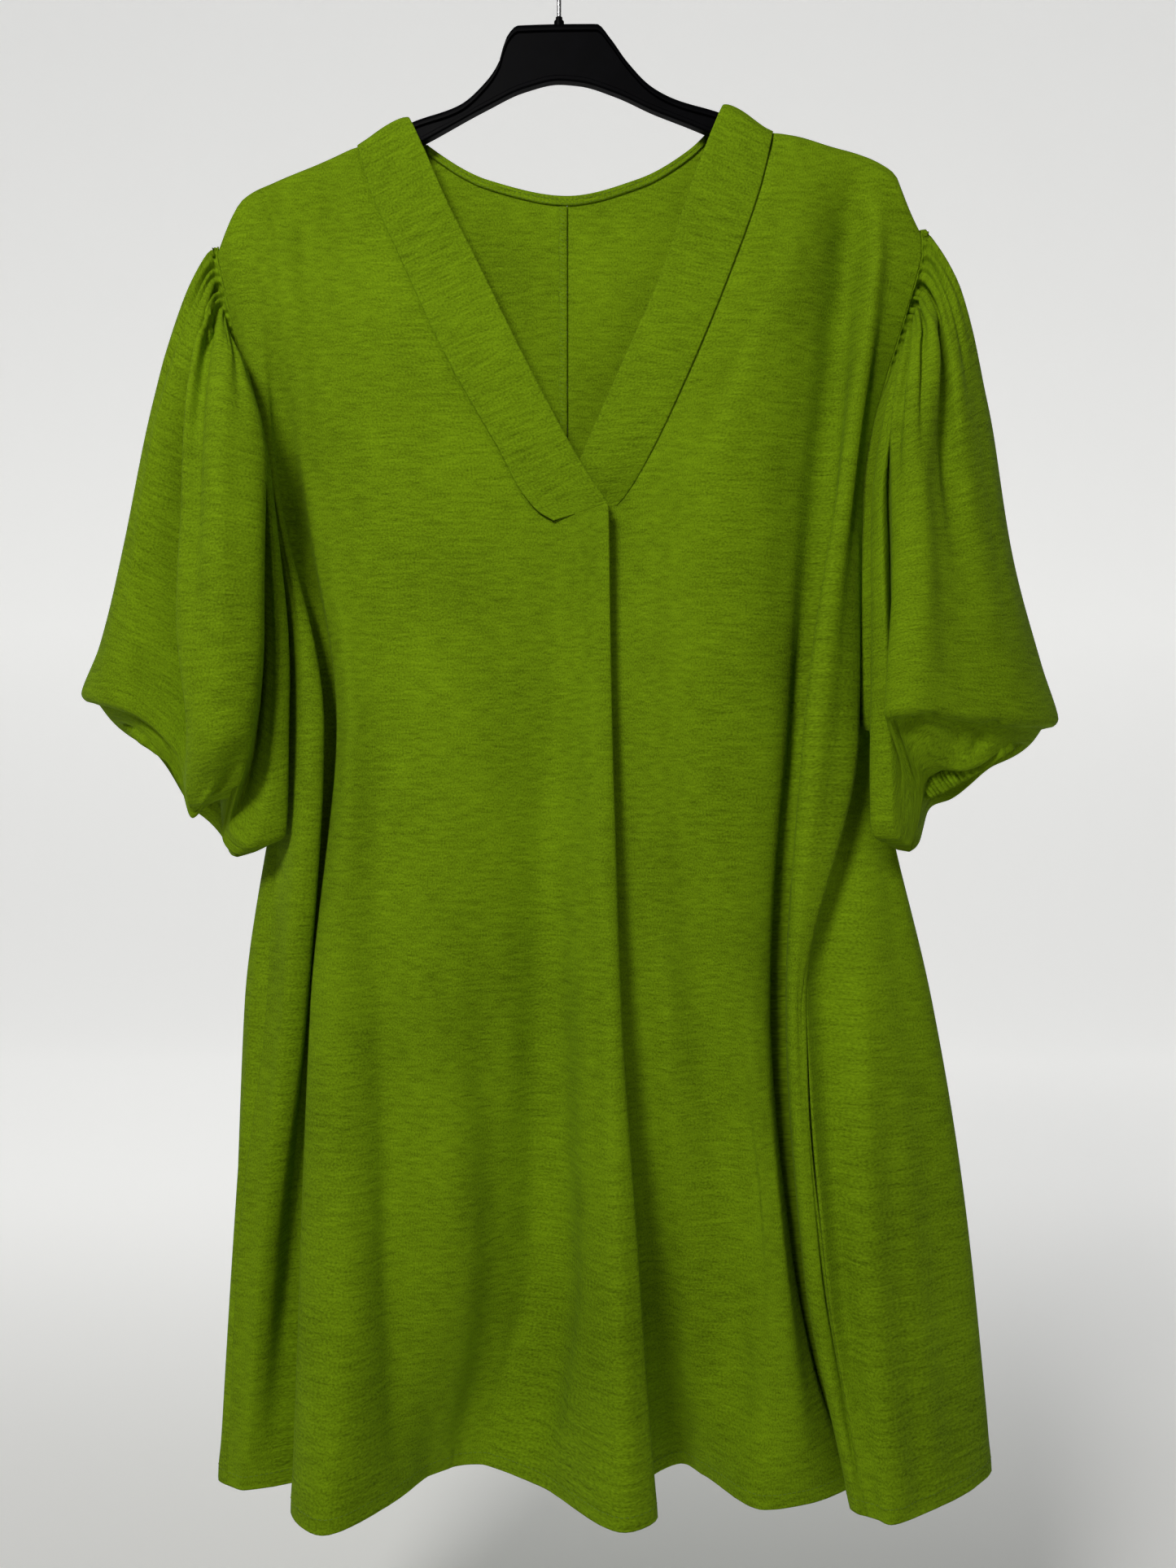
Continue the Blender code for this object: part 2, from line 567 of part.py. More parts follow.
def band_grid(ring, seam, edge, folds, lap):
    """A neck band from its seam on the front to its free edge, and from the V up to the shoulder."""
    length = math.hypot(seam[0][0] - seam[-1][0], seam[0][1] - seam[-1][1]) * MM
    roll = SHOULDER_ROLL * BAND_ROLL / length
    rolled = 1 - roll * (1 - np.sin(np.linspace(0, math.pi / 2, ROLL_ROWS + 1)[1:]))
    part = np.concatenate([np.linspace(0, 1 - roll, BAND_ROWS), rolled])
    share = np.linspace(0, 1, BAND_COLUMNS + 1)
    sides = []
    for points in (seam, edge):
        table = np.array(points, float) * MM
        length = np.concatenate([[0], np.cumsum(np.hypot(*np.diff(table, axis=0).T))])
        length /= length[-1]
        sides.append(np.stack([curve(length, table[:, 0], part), curve(length, table[:, 1], part)], 1))
    sides[0][:, 0] = line_across(seam, sides[0][:, 1])
    first, last = folds
    place = place_across(ring, first, last, sides[0][:, 0], sides[0][:, 1])
    seam_out = ring.point(place, sides[0][:, 1])[1]
    rest = SHOULDER_SEAM_OUT + SHOULDER_GAP / 2
    grid = []
    for index in range(len(part)):
        line = np.outer(1 - share, sides[0][index]) + np.outer(share, sides[1][index])
        near_point = max(0.0, 1 - part[index] / BAND_LAP_PART)
        out = seam_out[index] + lap * near_point
        out = rest + (out - rest) * closing(line[:, 0], line[:, 1])
        grid.append(np.stack([line[:, 0], -out, line[:, 1]], axis=-1))
    grid = np.array(grid)
    way = grid[:, 1] - grid[:, 0]
    grid[:, 0] += way / np.linalg.norm(way, axis=1, keepdims=True) * BAND_CLEAR
    rise = grid[1] - grid[0]
    grid[0] += rise / np.linalg.norm(rise, axis=1, keepdims=True) * BAND_CLEAR
    return grid


def build_neck(ring, finish):
    left_folds = ("left neck point", "centre trough")
    left = band_grid(ring, LEFT_NECK_SEAM, LEFT_BAND_EDGE, left_folds, BAND_LAP)
    cloth("neck_band_left", left, finish, BAND_WALL)
    right_folds = ("pleat floor", "right neck point")
    right = band_grid(ring, RIGHT_NECK_SEAM, RIGHT_BAND_EDGE, right_folds, -BAND_LAP)
    cloth("neck_band_right", right, finish, BAND_WALL)
    ends = np.array((BACK_NECK[0], BACK_NECK[-1]), float)[:, 0] * MM
    across = np.linspace(ends[0] + BINDING_START, ends[1] - BINDING_START, BINDING_COLUMNS)
    rows = []
    for drop in (BINDING_WIDTH, BINDING_WIDTH / 2, 0.0):
        height = line_height(BACK_NECK, across) - drop
        place = place_across(ring, "right corner", "left corner", across, height)
        rows.append(body_point(ring, place, height, -1) - (0.0, CLEAR, 0.0))
    cloth("back_neck_binding", np.array(rows), finish)


def cap_height(turn, corner):
    """The armhole height at which a column of the sleeve starts."""
    return CAP_FOOT_Z + (corner - CAP_FOOT_Z) * (1 - np.abs(2 * turn / 360 - 1))


def armhole_point(ring, side, face, height):
    """A point just outside the armhole's edge, and the way that the cloth leaves it."""
    height = np.atleast_1d(height)
    edge = body_point(ring, side_place(ring, side, face, height), height, face)
    foot = LEVEL_Z[LEVELS.index("underarm")] * MM
    outward = {"left": -1.0, "right": 1.0}[side]
    way = np.zeros_like(edge)
    way[:, 0] = outward
    low = np.clip((foot + ARMHOLE_FOOT - height) / ARMHOLE_FOOT, 0, 1)
    way[:, 2] = -low
    way /= np.linalg.norm(way, axis=1, keepdims=True)
    return edge, way


def cuff_ring(cuff, turn, along, side, inset=0.0, depth=CUFF_WAVE_DEPTH):
    """A ring of the cuff. Along is the way from its elastic line towards its free edge, and inset
    is how far the ring lies inside the sleeve's end."""
    outward = {"left": -1.0, "right": 1.0}[side]
    tilt = math.radians(cuff.tilt)
    long_way = np.array([outward * math.cos(tilt), 0.0, math.sin(tilt)])
    axis = np.array([outward * math.sin(tilt), 0.0, -math.cos(tilt)])
    centre = np.array([cuff.across, -cuff.out, cuff.height]) * MM
    half_long = cuff.half_long * MM - inset
    half_deep = cuff.half_deep * MM - inset
    angle = np.radians(curve(CUFF_TURNS, CUFF_ANGLES, turn))
    normal = np.stack([-half_deep * np.cos(angle), half_long * np.sin(angle)], axis=-1)
    normal /= np.linalg.norm(normal, axis=1, keepdims=True)
    wave = depth * np.cos(CUFF_WAVES * np.radians(turn))
    across = -half_long * np.cos(angle) + normal[:, 0] * wave
    out = half_deep * np.sin(angle) + normal[:, 1] * wave
    return centre + np.outer(across, long_way) + np.outer(out, (0.0, -1.0, 0.0)) + axis * along


def sleeve_lines(ring, side, folds, cuff):
    """Each fold line of the sleeve as points at its stations, and the stations. A station is the
    way down: 0 at the armhole, 1 at the lowest point of the brim and 1.3 at the cuff."""
    corner = CAP_TOP_Z[side]
    stations = np.array(SLEEVE_HEAD_STATIONS + SLEEVE_STATIONS + SLEEVE_UNDER_STATIONS)
    lines = []
    for fold in folds:
        face = 1 if fold.turn <= 180 else -1
        start = cap_height(np.array([float(fold.turn)]), corner)
        edge, way = armhole_point(ring, side, face, start)
        top = start[0]
        drop = fold.drop * MM
        points = [(edge + way * SLEEVE_START)[0], (edge + way * SLEEVE_TURN)[0]]
        ways = (fold.head, fold.upper, fold.lower, fold.lip)
        for station, place in zip(SLEEVE_STATIONS[:-1], ways):
            height = top + (drop - top) * station
            if place is None:
                height = CAP_FOOT_Z + (drop - CAP_FOOT_Z) * station
                edge, way = armhole_point(ring, side, face, np.array([height]))
                points.append((edge + way * SLEEVE_START)[0])
            else:
                points.append(np.array([place[0] * MM, -place[1] * MM, height]))
        brim = np.array([fold.brim[0] * MM, -fold.brim[1] * MM, drop + BRIM])
        end = cuff_ring(cuff, [float(fold.turn)], 0.0, side, depth=0.0)[0]
        inward = end - brim
        inward[2] = 0.0
        reach = np.linalg.norm(inward)
        inward /= reach
        points.append(brim)
        points.append(brim + inward * min(BRIM, reach * BRIM_TURN_PART) - (0.0, 0.0, BRIM))
        points.append(brim + inward * min(BRIM_FAR, reach * BRIM_FAR_PART))
        points.append(end)
        lines.append(np.array(points))
    return stations, np.array(lines)


def sleeve_grid(ring, side, folds, cuff, rows, columns=SLEEVE_COLUMNS):
    """Rows of points down the sleeve. Its first and last columns are the underarm line."""
    turns = np.linspace(0, 360, columns + 1)
    stations, lines = sleeve_lines(ring, side, folds, cuff)
    knots = np.array([float(fold.turn) for fold in folds])
    corner = CAP_TOP_Z[side]
    foot = LEVEL_Z[LEVELS.index("underarm")] * MM
    grid = []
    for row in rows:
        places = np.stack(
            [curve(stations, lines[:, :, axis], np.full(len(folds), row)) for axis in range(3)], 1
        )
        line = np.stack([curve(knots, places[:, axis], turns) for axis in range(3)], 1)
        if row <= SLEEVE_HEAD_STATIONS[-1]:
            for index, turn in enumerate(turns):
                face = 1 if turn <= 180 else -1
                edge, way = armhole_point(ring, side, face, cap_height(np.array([turn]), corner))
                lead = SLEEVE_START if row == 0 else SLEEVE_TURN
                line[index] = (edge + way * lead)[0]
        if row == rows[-1]:
            line = cuff_ring(cuff, turns, 0.0, side)
        for index, face in ((0, 1), (-1, -1)):
            height = CAP_FOOT_Z + (folds[0].drop * MM - CAP_FOOT_Z) * row
            if height > foot:
                edge, way = armhole_point(ring, side, face, np.array([height]))
                line[index] = (edge + way * SLEEVE_START)[0]
        grid.append(line)
    grid = np.array(grid)
    swell = np.array([gather_swell(row) for row in rows])[:, None]
    wave = np.cos(np.radians(turns) * GATHERS) * np.sin(np.radians(turns) / 2) ** 0.5
    axis = np.array([folds[0].brim[0] * MM, 0.0])
    away = grid[:, :, :2] - axis
    away /= np.linalg.norm(away, axis=2, keepdims=True)
    grid[:, :, :2] += away * (swell * wave)[:, :, None] * GATHER_DEPTH
    return grid


def gather_swell(row):
    """The gathers start at the armhole, are deepest close under it and run out down the sleeve."""
    if row <= GATHER_START or row >= GATHER_END:
        return 0.0
    rise = (row - GATHER_START) / (GATHER_FULL - GATHER_START)
    return min(1.0, rise) * (1 - row / GATHER_END)


def sleeve_mesh(grid, folds, rows):
    """Points and faces of a sleeve, whose edges meet along the underarm line below the armhole."""
    foot = LEVEL_Z[LEVELS.index("underarm")] * MM
    count = grid.shape[1]
    joined = [CAP_FOOT_Z + (folds[0].drop * MM - CAP_FOOT_Z) * row <= foot for row in rows]
    points = []
    numbers = np.zeros(grid.shape[:2], int)
    for row in range(len(rows)):
        for column in range(count):
            if joined[row] and column == count - 1:
                numbers[row, column] = numbers[row, 0]
                continue
            numbers[row, column] = len(points)
            points.append(grid[row, column])
    faces = []
    for row in range(len(rows) - 1):
        for column in range(count - 1):
            corners = (
                numbers[row, column], numbers[row, column + 1],
                numbers[row + 1, column + 1], numbers[row + 1, column],
            )
            faces.append(tuple(int(corner) for corner in corners))
    return np.array(points), faces


def build_sleeve(ring, side, folds, cuff, finish, band_finish):
    grid = sleeve_grid(ring, side, folds, cuff, SLEEVE_ROWS)
    points, faces = sleeve_mesh(grid, folds, SLEEVE_ROWS)
    surface_object("sleeve_" + side, points, faces, WALL, finish)
    turns = np.linspace(0, 360, SLEEVE_COLUMNS, endpoint=False)
    lines = [cuff_ring(cuff, turns, CUFF_WIDTH * part, side, CUFF_INSET) for part in (0.0, 0.5, 1.0)]
    cloth("cuff_" + side, np.array(lines), band_finish, WALL, closed=True)


def hanger_section(top, bottom):
    """Half widths and heights round a hanger arm: a rounded top, a web and a lip along the foot."""
    height = top - bottom
    head = min(HANGER_HALF, height * HANGER_HEAD_PART)
    lip = min(HANGER_LIP, height * HANGER_LIP_PART)
    right = [
        (0.0, top),
        (HANGER_HALF * HEAD_FLAT_PART, top - head * HEAD_ROUND_PART),
        (HANGER_HALF, top - head),
        (HANGER_WEB_HALF, top - head * HEAD_FILLET_PART),
        (HANGER_WEB_HALF, bottom + lip * LIP_FILLET_PART),
        (HANGER_LIP_HALF, bottom + lip),
        (HANGER_LIP_HALF, bottom),
    ]
    return right + [(-half, height) for half, height in reversed(right[1:])]


def build_hanger(finish, wire_finish):
    left = HANGER_TOP[0][0] * MM
    right = HANGER_TOP[-1][0] * MM
    across = np.linspace(left, right, HANGER_SECTIONS)
    rows = []
    for one in across:
        top = float(line_height(HANGER_TOP, [one])[0])
        bottom = float(line_height(HANGER_BOTTOM, [one])[0])
        rows.append([(one, half, height) for half, height in hanger_section(top, bottom)])
    rows = np.array(rows)
    count = rows.shape[1]
    faces = grid_faces(len(rows), count, closed=True)
    faces.append(tuple(reversed(range(count))))
    faces.append(tuple(range(len(rows) * count - count, len(rows) * count)))
    faces = [tuple(reversed(face)) for face in faces]
    surface_object("hanger_body", rows.reshape(-1, 3), faces, None, finish)
    build_hook(wire_finish)


def build_hook(finish):
    """A wire hook: a straight stem, then three quarters of a turn round the rod."""
    middle = -HOOK_RADIUS + HOOK_WIRE / 2
    route = [Vector((0, 0, HOOK_FOOT_Z)), Vector((0, 0, middle - HOOK_RADIUS * HOOK_NECK_PART))]
    for step in range(HOOK_STEPS):
        angle = math.radians(HOOK_START_DEG + HOOK_STEP_DEG * step)
        route.append(Vector((
            HOOK_RADIUS * math.cos(angle), 0, middle + HOOK_RADIUS * math.sin(angle)
        )))
    data = bpy.data.curves.new("hanger_hook", "CURVE")
    data.dimensions = "3D"
    data.bevel_depth = HOOK_WIRE / 2
    data.bevel_resolution = 2
    data.use_fill_caps = True
    line = data.splines.new("POLY")
    line.points.add(len(route) - 1)
    for point, place in zip(line.points, route):
        point.co = (*place, 1.0)
    data.materials.append(finish)
    hook = bpy.data.objects.new("hanger_hook", data)
    bpy.context.scene.collection.objects.link(hook)


def material(name, look):
    colour, roughness, metallic = look
    made = bpy.data.materials.new(name)
    made.use_nodes = True
    shader = made.node_tree.nodes["Principled BSDF"]
    shader.inputs["Base Color"].default_value = (*colour, 1.0)
    shader.inputs["Roughness"].default_value = roughness
    shader.inputs["Metallic"].default_value = metallic
    return made


def main():
    for thing in list(bpy.data.objects):
        bpy.data.objects.remove(thing)
    crepe = material("green crepe", CLOTH)
    band_crepe = material("green crepe band", CLOTH_BAND)
    plastic = material("black plastic", PLASTIC)
    steel = material("steel wire", STEEL)
    ring = Ring()
    build_body(ring, crepe)
    build_neck(ring, band_crepe)
    build_sleeve(ring, "left", LEFT_SLEEVE, LEFT_CUFF, crepe, band_crepe)
    build_sleeve(ring, "right", RIGHT_SLEEVE, RIGHT_CUFF, crepe, band_crepe)
    build_hanger(plastic, steel)


if __name__ == "__main__":
    main()
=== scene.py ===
"""A puff-sleeve blouse that hangs on a plastic hanger, as it is seen.

Metres, +Z up. The front faces -Y and the side called left lies at -X. The body is one ring of
cloth whose fold lines run from the hem to the shoulder, and each sleeve is a tube led by fold
lines from its armhole to its elastic cuff. Soft creases, gathers, the hems, the stitching and the
crepe itself are added on those forms.
"""

import math
from collections import namedtuple

import bpy
import numpy as np
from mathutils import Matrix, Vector


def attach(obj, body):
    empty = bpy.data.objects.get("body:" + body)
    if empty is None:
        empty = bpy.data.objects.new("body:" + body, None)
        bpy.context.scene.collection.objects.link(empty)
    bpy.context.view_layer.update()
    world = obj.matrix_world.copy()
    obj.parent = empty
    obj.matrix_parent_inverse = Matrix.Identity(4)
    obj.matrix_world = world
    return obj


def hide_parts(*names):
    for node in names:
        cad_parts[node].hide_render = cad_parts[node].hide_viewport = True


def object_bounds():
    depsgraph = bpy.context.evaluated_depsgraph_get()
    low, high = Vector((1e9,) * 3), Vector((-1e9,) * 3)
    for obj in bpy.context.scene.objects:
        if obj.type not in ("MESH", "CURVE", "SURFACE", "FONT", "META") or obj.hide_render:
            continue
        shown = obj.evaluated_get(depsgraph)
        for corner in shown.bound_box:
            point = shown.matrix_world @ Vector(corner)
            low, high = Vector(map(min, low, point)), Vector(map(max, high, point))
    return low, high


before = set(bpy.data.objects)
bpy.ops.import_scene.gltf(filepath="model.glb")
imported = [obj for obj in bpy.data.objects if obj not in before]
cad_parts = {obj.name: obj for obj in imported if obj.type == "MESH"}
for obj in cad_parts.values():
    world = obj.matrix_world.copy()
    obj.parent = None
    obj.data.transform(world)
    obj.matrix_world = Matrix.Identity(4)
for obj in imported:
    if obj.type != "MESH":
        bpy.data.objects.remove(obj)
CAD_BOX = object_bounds()

bl_info = {
    "name": "Puff-sleeve blouse",
    "version": (1, 0, 0),
    "blender": (4, 5, 0),
    "location": "3D View > Sidebar > Blouse",
    "description": "Builds a puff-sleeve crepe blouse on its hanger, with a plain stage",
    "category": "Object",
}

MM = 0.001

# Seams of the cloth as it is seen
SEAM_GAP = 0.0002
SIDE_GAP = 0.0002
BAND_CLEAR = 0.0002
SLEEVE_START = 0.0004
SLEEVE_TURN = 0.0032
NECK_OVERLAP = 0.000001

# Shoulder: the cloth rolls over the hanger and its seam lies a little in front of the top.
SHOULDER_ROLL = 0.013
SHOULDER_SEAM_OUT = 0.0015
SHOULDER_GAP = 0.0009

# Neck. One band laps over the other along the lowest part of its way up from the V.
BINDING_WIDTH = 0.006
BINDING_START = 0.0105
BINDING_CLEAR = 0.0011
BAND_LAP = 0.0011
BAND_LAP_PART = 0.45
BAND_ROLL = 1.1

# Armholes: how much of the ring's side strip is cut away, and the height of its round foot.
ARMHOLE_SHARE = {1: 0.55, -1: 0.7}
ARMHOLE_FOOT = 0.045

# Sleeves and cuffs
CAP_FOOT_Z = -0.290
CAP_TOP_Z = {"left": -0.2075, "right": -0.1970}
BRIM = 0.005
BRIM_TURN_PART = 0.3
BRIM_FAR = 0.012
BRIM_FAR_PART = 0.65
CUFF_WIDTH = 0.013
CUFF_WAVES = 12
CUFF_WAVE_DEPTH = 0.0010
CUFF_INSET = 0.0012

# Hems, stitches and the layers at the bands, in metres
TINY = 1e-12
SEAM_SINK = 0.0014
SEAM_REACH = 0.0032
HEM_WIDTH = 0.0088
HEM_INSET = 0.0009
HEM_STITCH = 0.0080
PUCKER_DEPTH = 0.00045
PUCKER_REACH = 0.007
PUCKER_WAVES = ((0.0105, 0.5, 0.0), (0.0172, 0.35, 1.3), (0.0068, 0.25, 2.1))
CROWN_STATION = 0.05
CROWN_END = 0.35
CROWN_DEPTH = 0.0022

# Lobes of the cloth that turns under a sleeve: waves as (lobes round, share, shift)
LOBE_START = 1.02
LOBE_DROP = 0.018
LOBE_SWING = 0.0040
LOBE_PUFF = 0.002
LOBE_WAVES = ((3, 0.6, 0.4), (5, 0.4, 1.9))

# Sewing
STITCH_LENGTH = 0.0024
STITCH_GAP = 0.0007
THREAD_RADIUS = 0.00021
STITCH_SIDES = 5
STITCH_SHARES = (0.0, 0.2, 0.8, 1.0)
STITCH_LIFTS = (-0.8, 0.5, 0.5, -0.8)
STITCH_THICKNESS = (0.5, 1.0, 1.0, 0.5)
BAND_LAYERS = 1.7
BAND_PUFF = 0.0005
BAND_ROUND = 0.6
BINDING_LAYERS = 1.6
BINDING_STITCH_SHARES = (0.12, 0.62)
CUFF_LAYERS = 1.5
CUFF_BULGE = 0.0008
CUFF_SHIRR = 0.0010
CUFF_SHIRRS = 37
CUFF_SHIRR_SPAN = (0.15, 0.85)
CUFF_STITCH_ROWS = (1, 7)
OVERLOCK_TOP = -0.177
OVERLOCK_FOOT = -0.966
OVERLOCK_STEP = 0.0026
OVERLOCK_COLUMNS = 6
OVERLOCK_WIDTH = 0.0052
OVERLOCK_CLEAR = 0.0012
OVERLOCK_RISE = 0.0004
OVERLOCK_SWAY = 0.0004
OVERLOCK_BENDS = 210.0
OVERLOCK_STITCH = 0.0046

# Crinkles and grain of the crepe, as repeats per metre, and their shares of its change of colour.
# The crinkles and grain are also the crepe's bumps, so their shares are painted shade in their
# hollows and painted light on their tops; the cloud's share is the cloth's own uneven tone.
# The change goes from one share of the colour to the other between its ends.
CRINKLE_ACROSS = 62.0
CRINKLE_ALONG = 380.0
GRAIN = 760.0
CLOUD = 11.0
CHART_ROUND = 1.35
CRINKLE_PAINTED_SHADE_SHARE = 0.32
GRAIN_PAINTED_SHADE_SHARE = 0.50
CLOUD_SHARE = 0.18
CREPE_TONE_AND_SHADE_RANGE = (0.52, 1.48)
CREPE_ENDS = (0.35, 0.65)

# Hanger. The parts are shares of its height, of its rounded head and of its lip.
HANGER_HALF = 0.0040
HANGER_WEB_HALF = 0.0024
HANGER_LIP_HALF = 0.0034
HANGER_HEAD_PART = 0.4
HANGER_LIP = 0.003
HANGER_LIP_PART = 0.22
HEAD_STEPS = 6
HEAD_ROUND = 0.8
HEAD_SIDE_PART = 1.25
HEAD_FILLET_PART = 1.45
LIP_FILLET_PART = 1.3
LIP_ROUND_PART = 0.35
LIP_FLAT_PART = 0.75
HANGER_SECTIONS = 180
COLLAR_STEPS = ((-0.0665, -0.0630, 0.0032), (-0.0640, -0.0605, 0.0022))
COLLAR_SIDES = 24
HANGER_EDGE_DEG = 38
HOOK_WIRE = 0.0028
HOOK_RADIUS = 0.021
HOOK_FOOT_Z = -0.0649
HOOK_NECK_PART = 1.15
HOOK_START_DEG = -90
HOOK_TURN_DEG = 240
HOOK_STEPS = 49

# Stage, lights and the camera at the photo's place
FLOOR_REACH = 8.0
SWEEP_DEPTH = 2.4
SWEEP_ROUND = 1.2
SWEEP_HEIGHT = 4.0
SWEEP_STEPS = 24
GLOW_SPAN = (-0.4, 1.5)
SKY_SPAN = (-0.05, 0.6)
SKY_TOP = 0.3
MIDDLE = (0.0, 0.0, -0.55)
KEY_PLACE = (-0.62, -1.45, 0.55)
KEY_SIZE = 0.5
FILL_PLACE = (1.6, -1.7, 0.0)
FILL_SIZE = 1.6
BACK_PLACE = (-0.6, 1.9, 0.5)
SENSOR = 36.0
CAMERA_DISTANCE = 0.850
CAMERA_HALF_VIEW = 0.50102
CAMERA_ACROSS = 0.0185
CAMERA_HEIGHT = -0.550
CAMERA_NEAR = 0.01

# Heights of the fold tables' columns, from hem to yoke. Wrap is how many fold lines the ring is
# carried on past its ends, so that it closes smoothly.
LEVELS = ("hem", "hip", "waist", "underarm", "chest", "yoke")
LEVEL_HEIGHTS = np.array((-979, -840, -690, -515, -370, -215)) * MM
FOOT_Z = LEVEL_HEIGHTS[LEVELS.index("underarm")]
WRAP = 3


def listed(kind, *rows):
    """A table whose rows have named columns."""
    return tuple(kind(*row) for row in rows)


Fold = namedtuple("Fold", "name across out")

# Across is to the right and out is towards the front, in millimetres, at each of LEVELS.
FRONT_FOLDS = listed(Fold,
    ("left seam", (-202, -198, -182, -177, -186, -223), (36, 28, 20, 2, 0, 0)),
    ("left ridge", (-190, -183, -168, -153, -178, -207), (42, 36, 32, 32, 16, 8)),
    ("left ridge edge", (-185, -174, -156, -145, -174, -195), (41, 30, 25, 27, 13, 11)),
    ("left valley", (-174, -170, -159, -151, -172, -188), (38, 14, 10, 11, 9, 12)),
    ("left valley end", (-156, -161, -155, -146, -167, -184), (30, 12, 10, 10, 10, 12)),
    ("front left edge", (-157, -155, -152, -139, -158, -178), (62, 46, 32, 15, 13, 12)),
    ("first crest", (-133, -127, -135, -128, -146, -166), (91, 63, 46, 27, 17, 12)),
    ("first trough", (-98, -101, -107, -112, -125, -148), (56, 46, 36, 23, 17, 12)),
    ("left neck point", (-79, -71, -82, -78, -85, -128), (24, 46, 41, 30, 21, 12)),
    ("centre trough", (-50, -18, -15, -8, -3, -10), (11, 26, 28, 23, 20, 13)),
    ("centre slope", (-11, 7, 7, 10, 14, 5), (37, 46, 40, 31, 22, 13)),
    ("centre crest", (40, 35, 31, 25, 25, 15), (88, 70, 55, 40, 24, 13)),
    ("pleat edge", (59, 48, 38, 33, 31, 22), (72, 64, 52, 38.5, 25, 15)),
    ("pleat return", (50, 39, 29, 24, 23, 15), (42, 50, 43, 31.5, 18, 9)),
    ("pleat floor", (77, 58, 46, 39, 37, 30), (10, 24, 32, 25.5, 12, 4)),
    ("right slope", (91, 82, 72, 58, 58, 70), (25, 33, 34, 31, 19, 12)),
    ("right neck point", (123, 125, 109, 82, 83, 136), (64, 50, 37, 32, 20, 12)),
    ("right fall", (153, 136, 125, 118, 125, 158), (56, 44, 30, 26, 15, 12)),
    ("right valley", (182, 152, 141, 153, 163, 182), (36, 20, 14, 12, 9, 11)),
    ("right ridge edge", (174, 149, 141, 154, 174, 196), (62, 44, 32, 26, 16, 11)),
    ("right ridge", (178, 154, 146, 165, 180, 204), (69, 51, 38, 33, 19, 10)),
    ("right ridge end", (180, 158, 151, 187, 188, 218), (70, 53, 37, 22, 12, 7)),
)
BACK_FOLDS = listed(Fold,
    ("right seam", (182, 161, 153, 190, 196, 241), (71, 53, 33, 3, 0, 0)),
    ("right hollow", (188, 171, 166, 194, 193, 222), (75, 46, 22, -3, -6, -5)),
    ("right back crease", (194, 184, 187, 198, 188, 216), (80, 56, 30, -6, -10, -8)),
    ("right back slope", (225, 220, 213, 201, 183, 208), (62, 40, 20, -8, -12, -10)),
    ("right back fall", (256, 245, 231, 202, 178, 199), (37, 22, 10, -10, -13, -11)),
    ("right side", (271, 260, 238, 199, 173, 191), (15, 4, -2, -13, -13.5, -11.5)),
    ("right corner", (262, 250, 230, 190, 165, 183), (-16, -18, -16, -15, -14, -12)),
    ("back crest 1", (222, 215, 200, 172, 148, 165), (-36, -31, -24, -19, -15, -11)),
    ("back trough 1", (180, 175, 165, 142, 124, 145), (-20, -20, -18, -16, -14, -11)),
    ("back crest 2", (138, 135, 125, 108, 100, 105), (-38, -32, -25, -20, -16, -11)),
    ("back trough 2", (90, 88, 82, 72, 64, 75), (-18, -18, -17, -16, -14, -11)),
    ("back crest 3", (48, 46, 43, 38, 34, 38), (-36, -30, -24, -19, -15, -11)),
    ("centre back", (5, 5, 5, 5, 5, 5), (-26, -23, -20, -17, -14, -11)),
    ("back crest 4", (-36, -35, -33, -30, -27, -28), (-38, -32, -25, -19, -15, -11)),
    ("back trough 3", (-78, -76, -72, -64, -56, -65), (-19, -19, -18, -16, -14, -11)),
    ("back crest 5", (-120, -117, -112, -100, -92, -97), (-37, -31, -25, -19, -15, -11)),
    ("back trough 4", (-160, -156, -150, -138, -122, -140), (-22, -21, -19, -16, -14, -11)),
    ("left corner", (-198, -192, -187, -173, -168, -184), (-24, -22, -19, -15, -13, -11)),
    ("left side", (-212, -205, -200, -180, -178, -199), (10, 8, 4, -10, -12, -10)),
    ("left hollow", (-209, -203, -194, -180, -184, -213), (30, 22, 14, -3, -6, -6)),
)

# Lines of the top edges, each point as (across, height) in millimetres
SHOULDER_LINE = (
    (-220, -219), (-215.5, -207.5), (-212, -198.5), (-208, -189.5), (-201, -178.5),
    (-180, -167.5), (-149, -154.5), (-128, -144.5), (-96, -126.5), (105, -118.5), (136, -135.5),
    (152, -138.5), (172, -144.5), (190, -149.5), (208, -157.5), (214, -162.5), (218, -172),
    (222, -182), (229, -197), (236, -209),
)
LEFT_NECK_SEAM = ((-3, -386), (-13, -380), (-39, -338), (-71, -281), (-101, -216), (-117, -180),
                  (-128, -144.5))
RIGHT_NECK_SEAM = ((37, -374), (43, -367), (57, -344), (77, -302), (105, -235), (128, -170),
                   (136, -135.5))
LEFT_BAND_EDGE = ((31, -376), (13, -348), (-19, -288), (-55, -214), (-71, -182), (-85, -150),
                  (-96, -126.5))
RIGHT_BAND_EDGE = ((-2, -385), (14, -346), (41, -284), (66, -226), (86, -166), (96, -140),
                   (105, -118.5))
BACK_NECK = ((-96, -126.5), (-84, -138), (-45, -160), (5, -170), (51, -159), (84, -140),
             (105, -118.5))

# Sleeve fold lines. Turn is the place round the sleeve in degrees, from the underarm over the
# front. Head, upper, lower, lip and brim are (across, out) on the way down, and drop is the
# height of the brim, all in millimetres.
SleeveFold = namedtuple("SleeveFold", "name turn head upper lower lip brim drop")
SLEEVE_HEAD_STATIONS = (0.0, 0.02)
SLEEVE_STATIONS = (0.12, 0.35, 0.65, 0.88, 0.96)
SLEEVE_UNDER_STATIONS = (1.0, 1.06, 1.3)

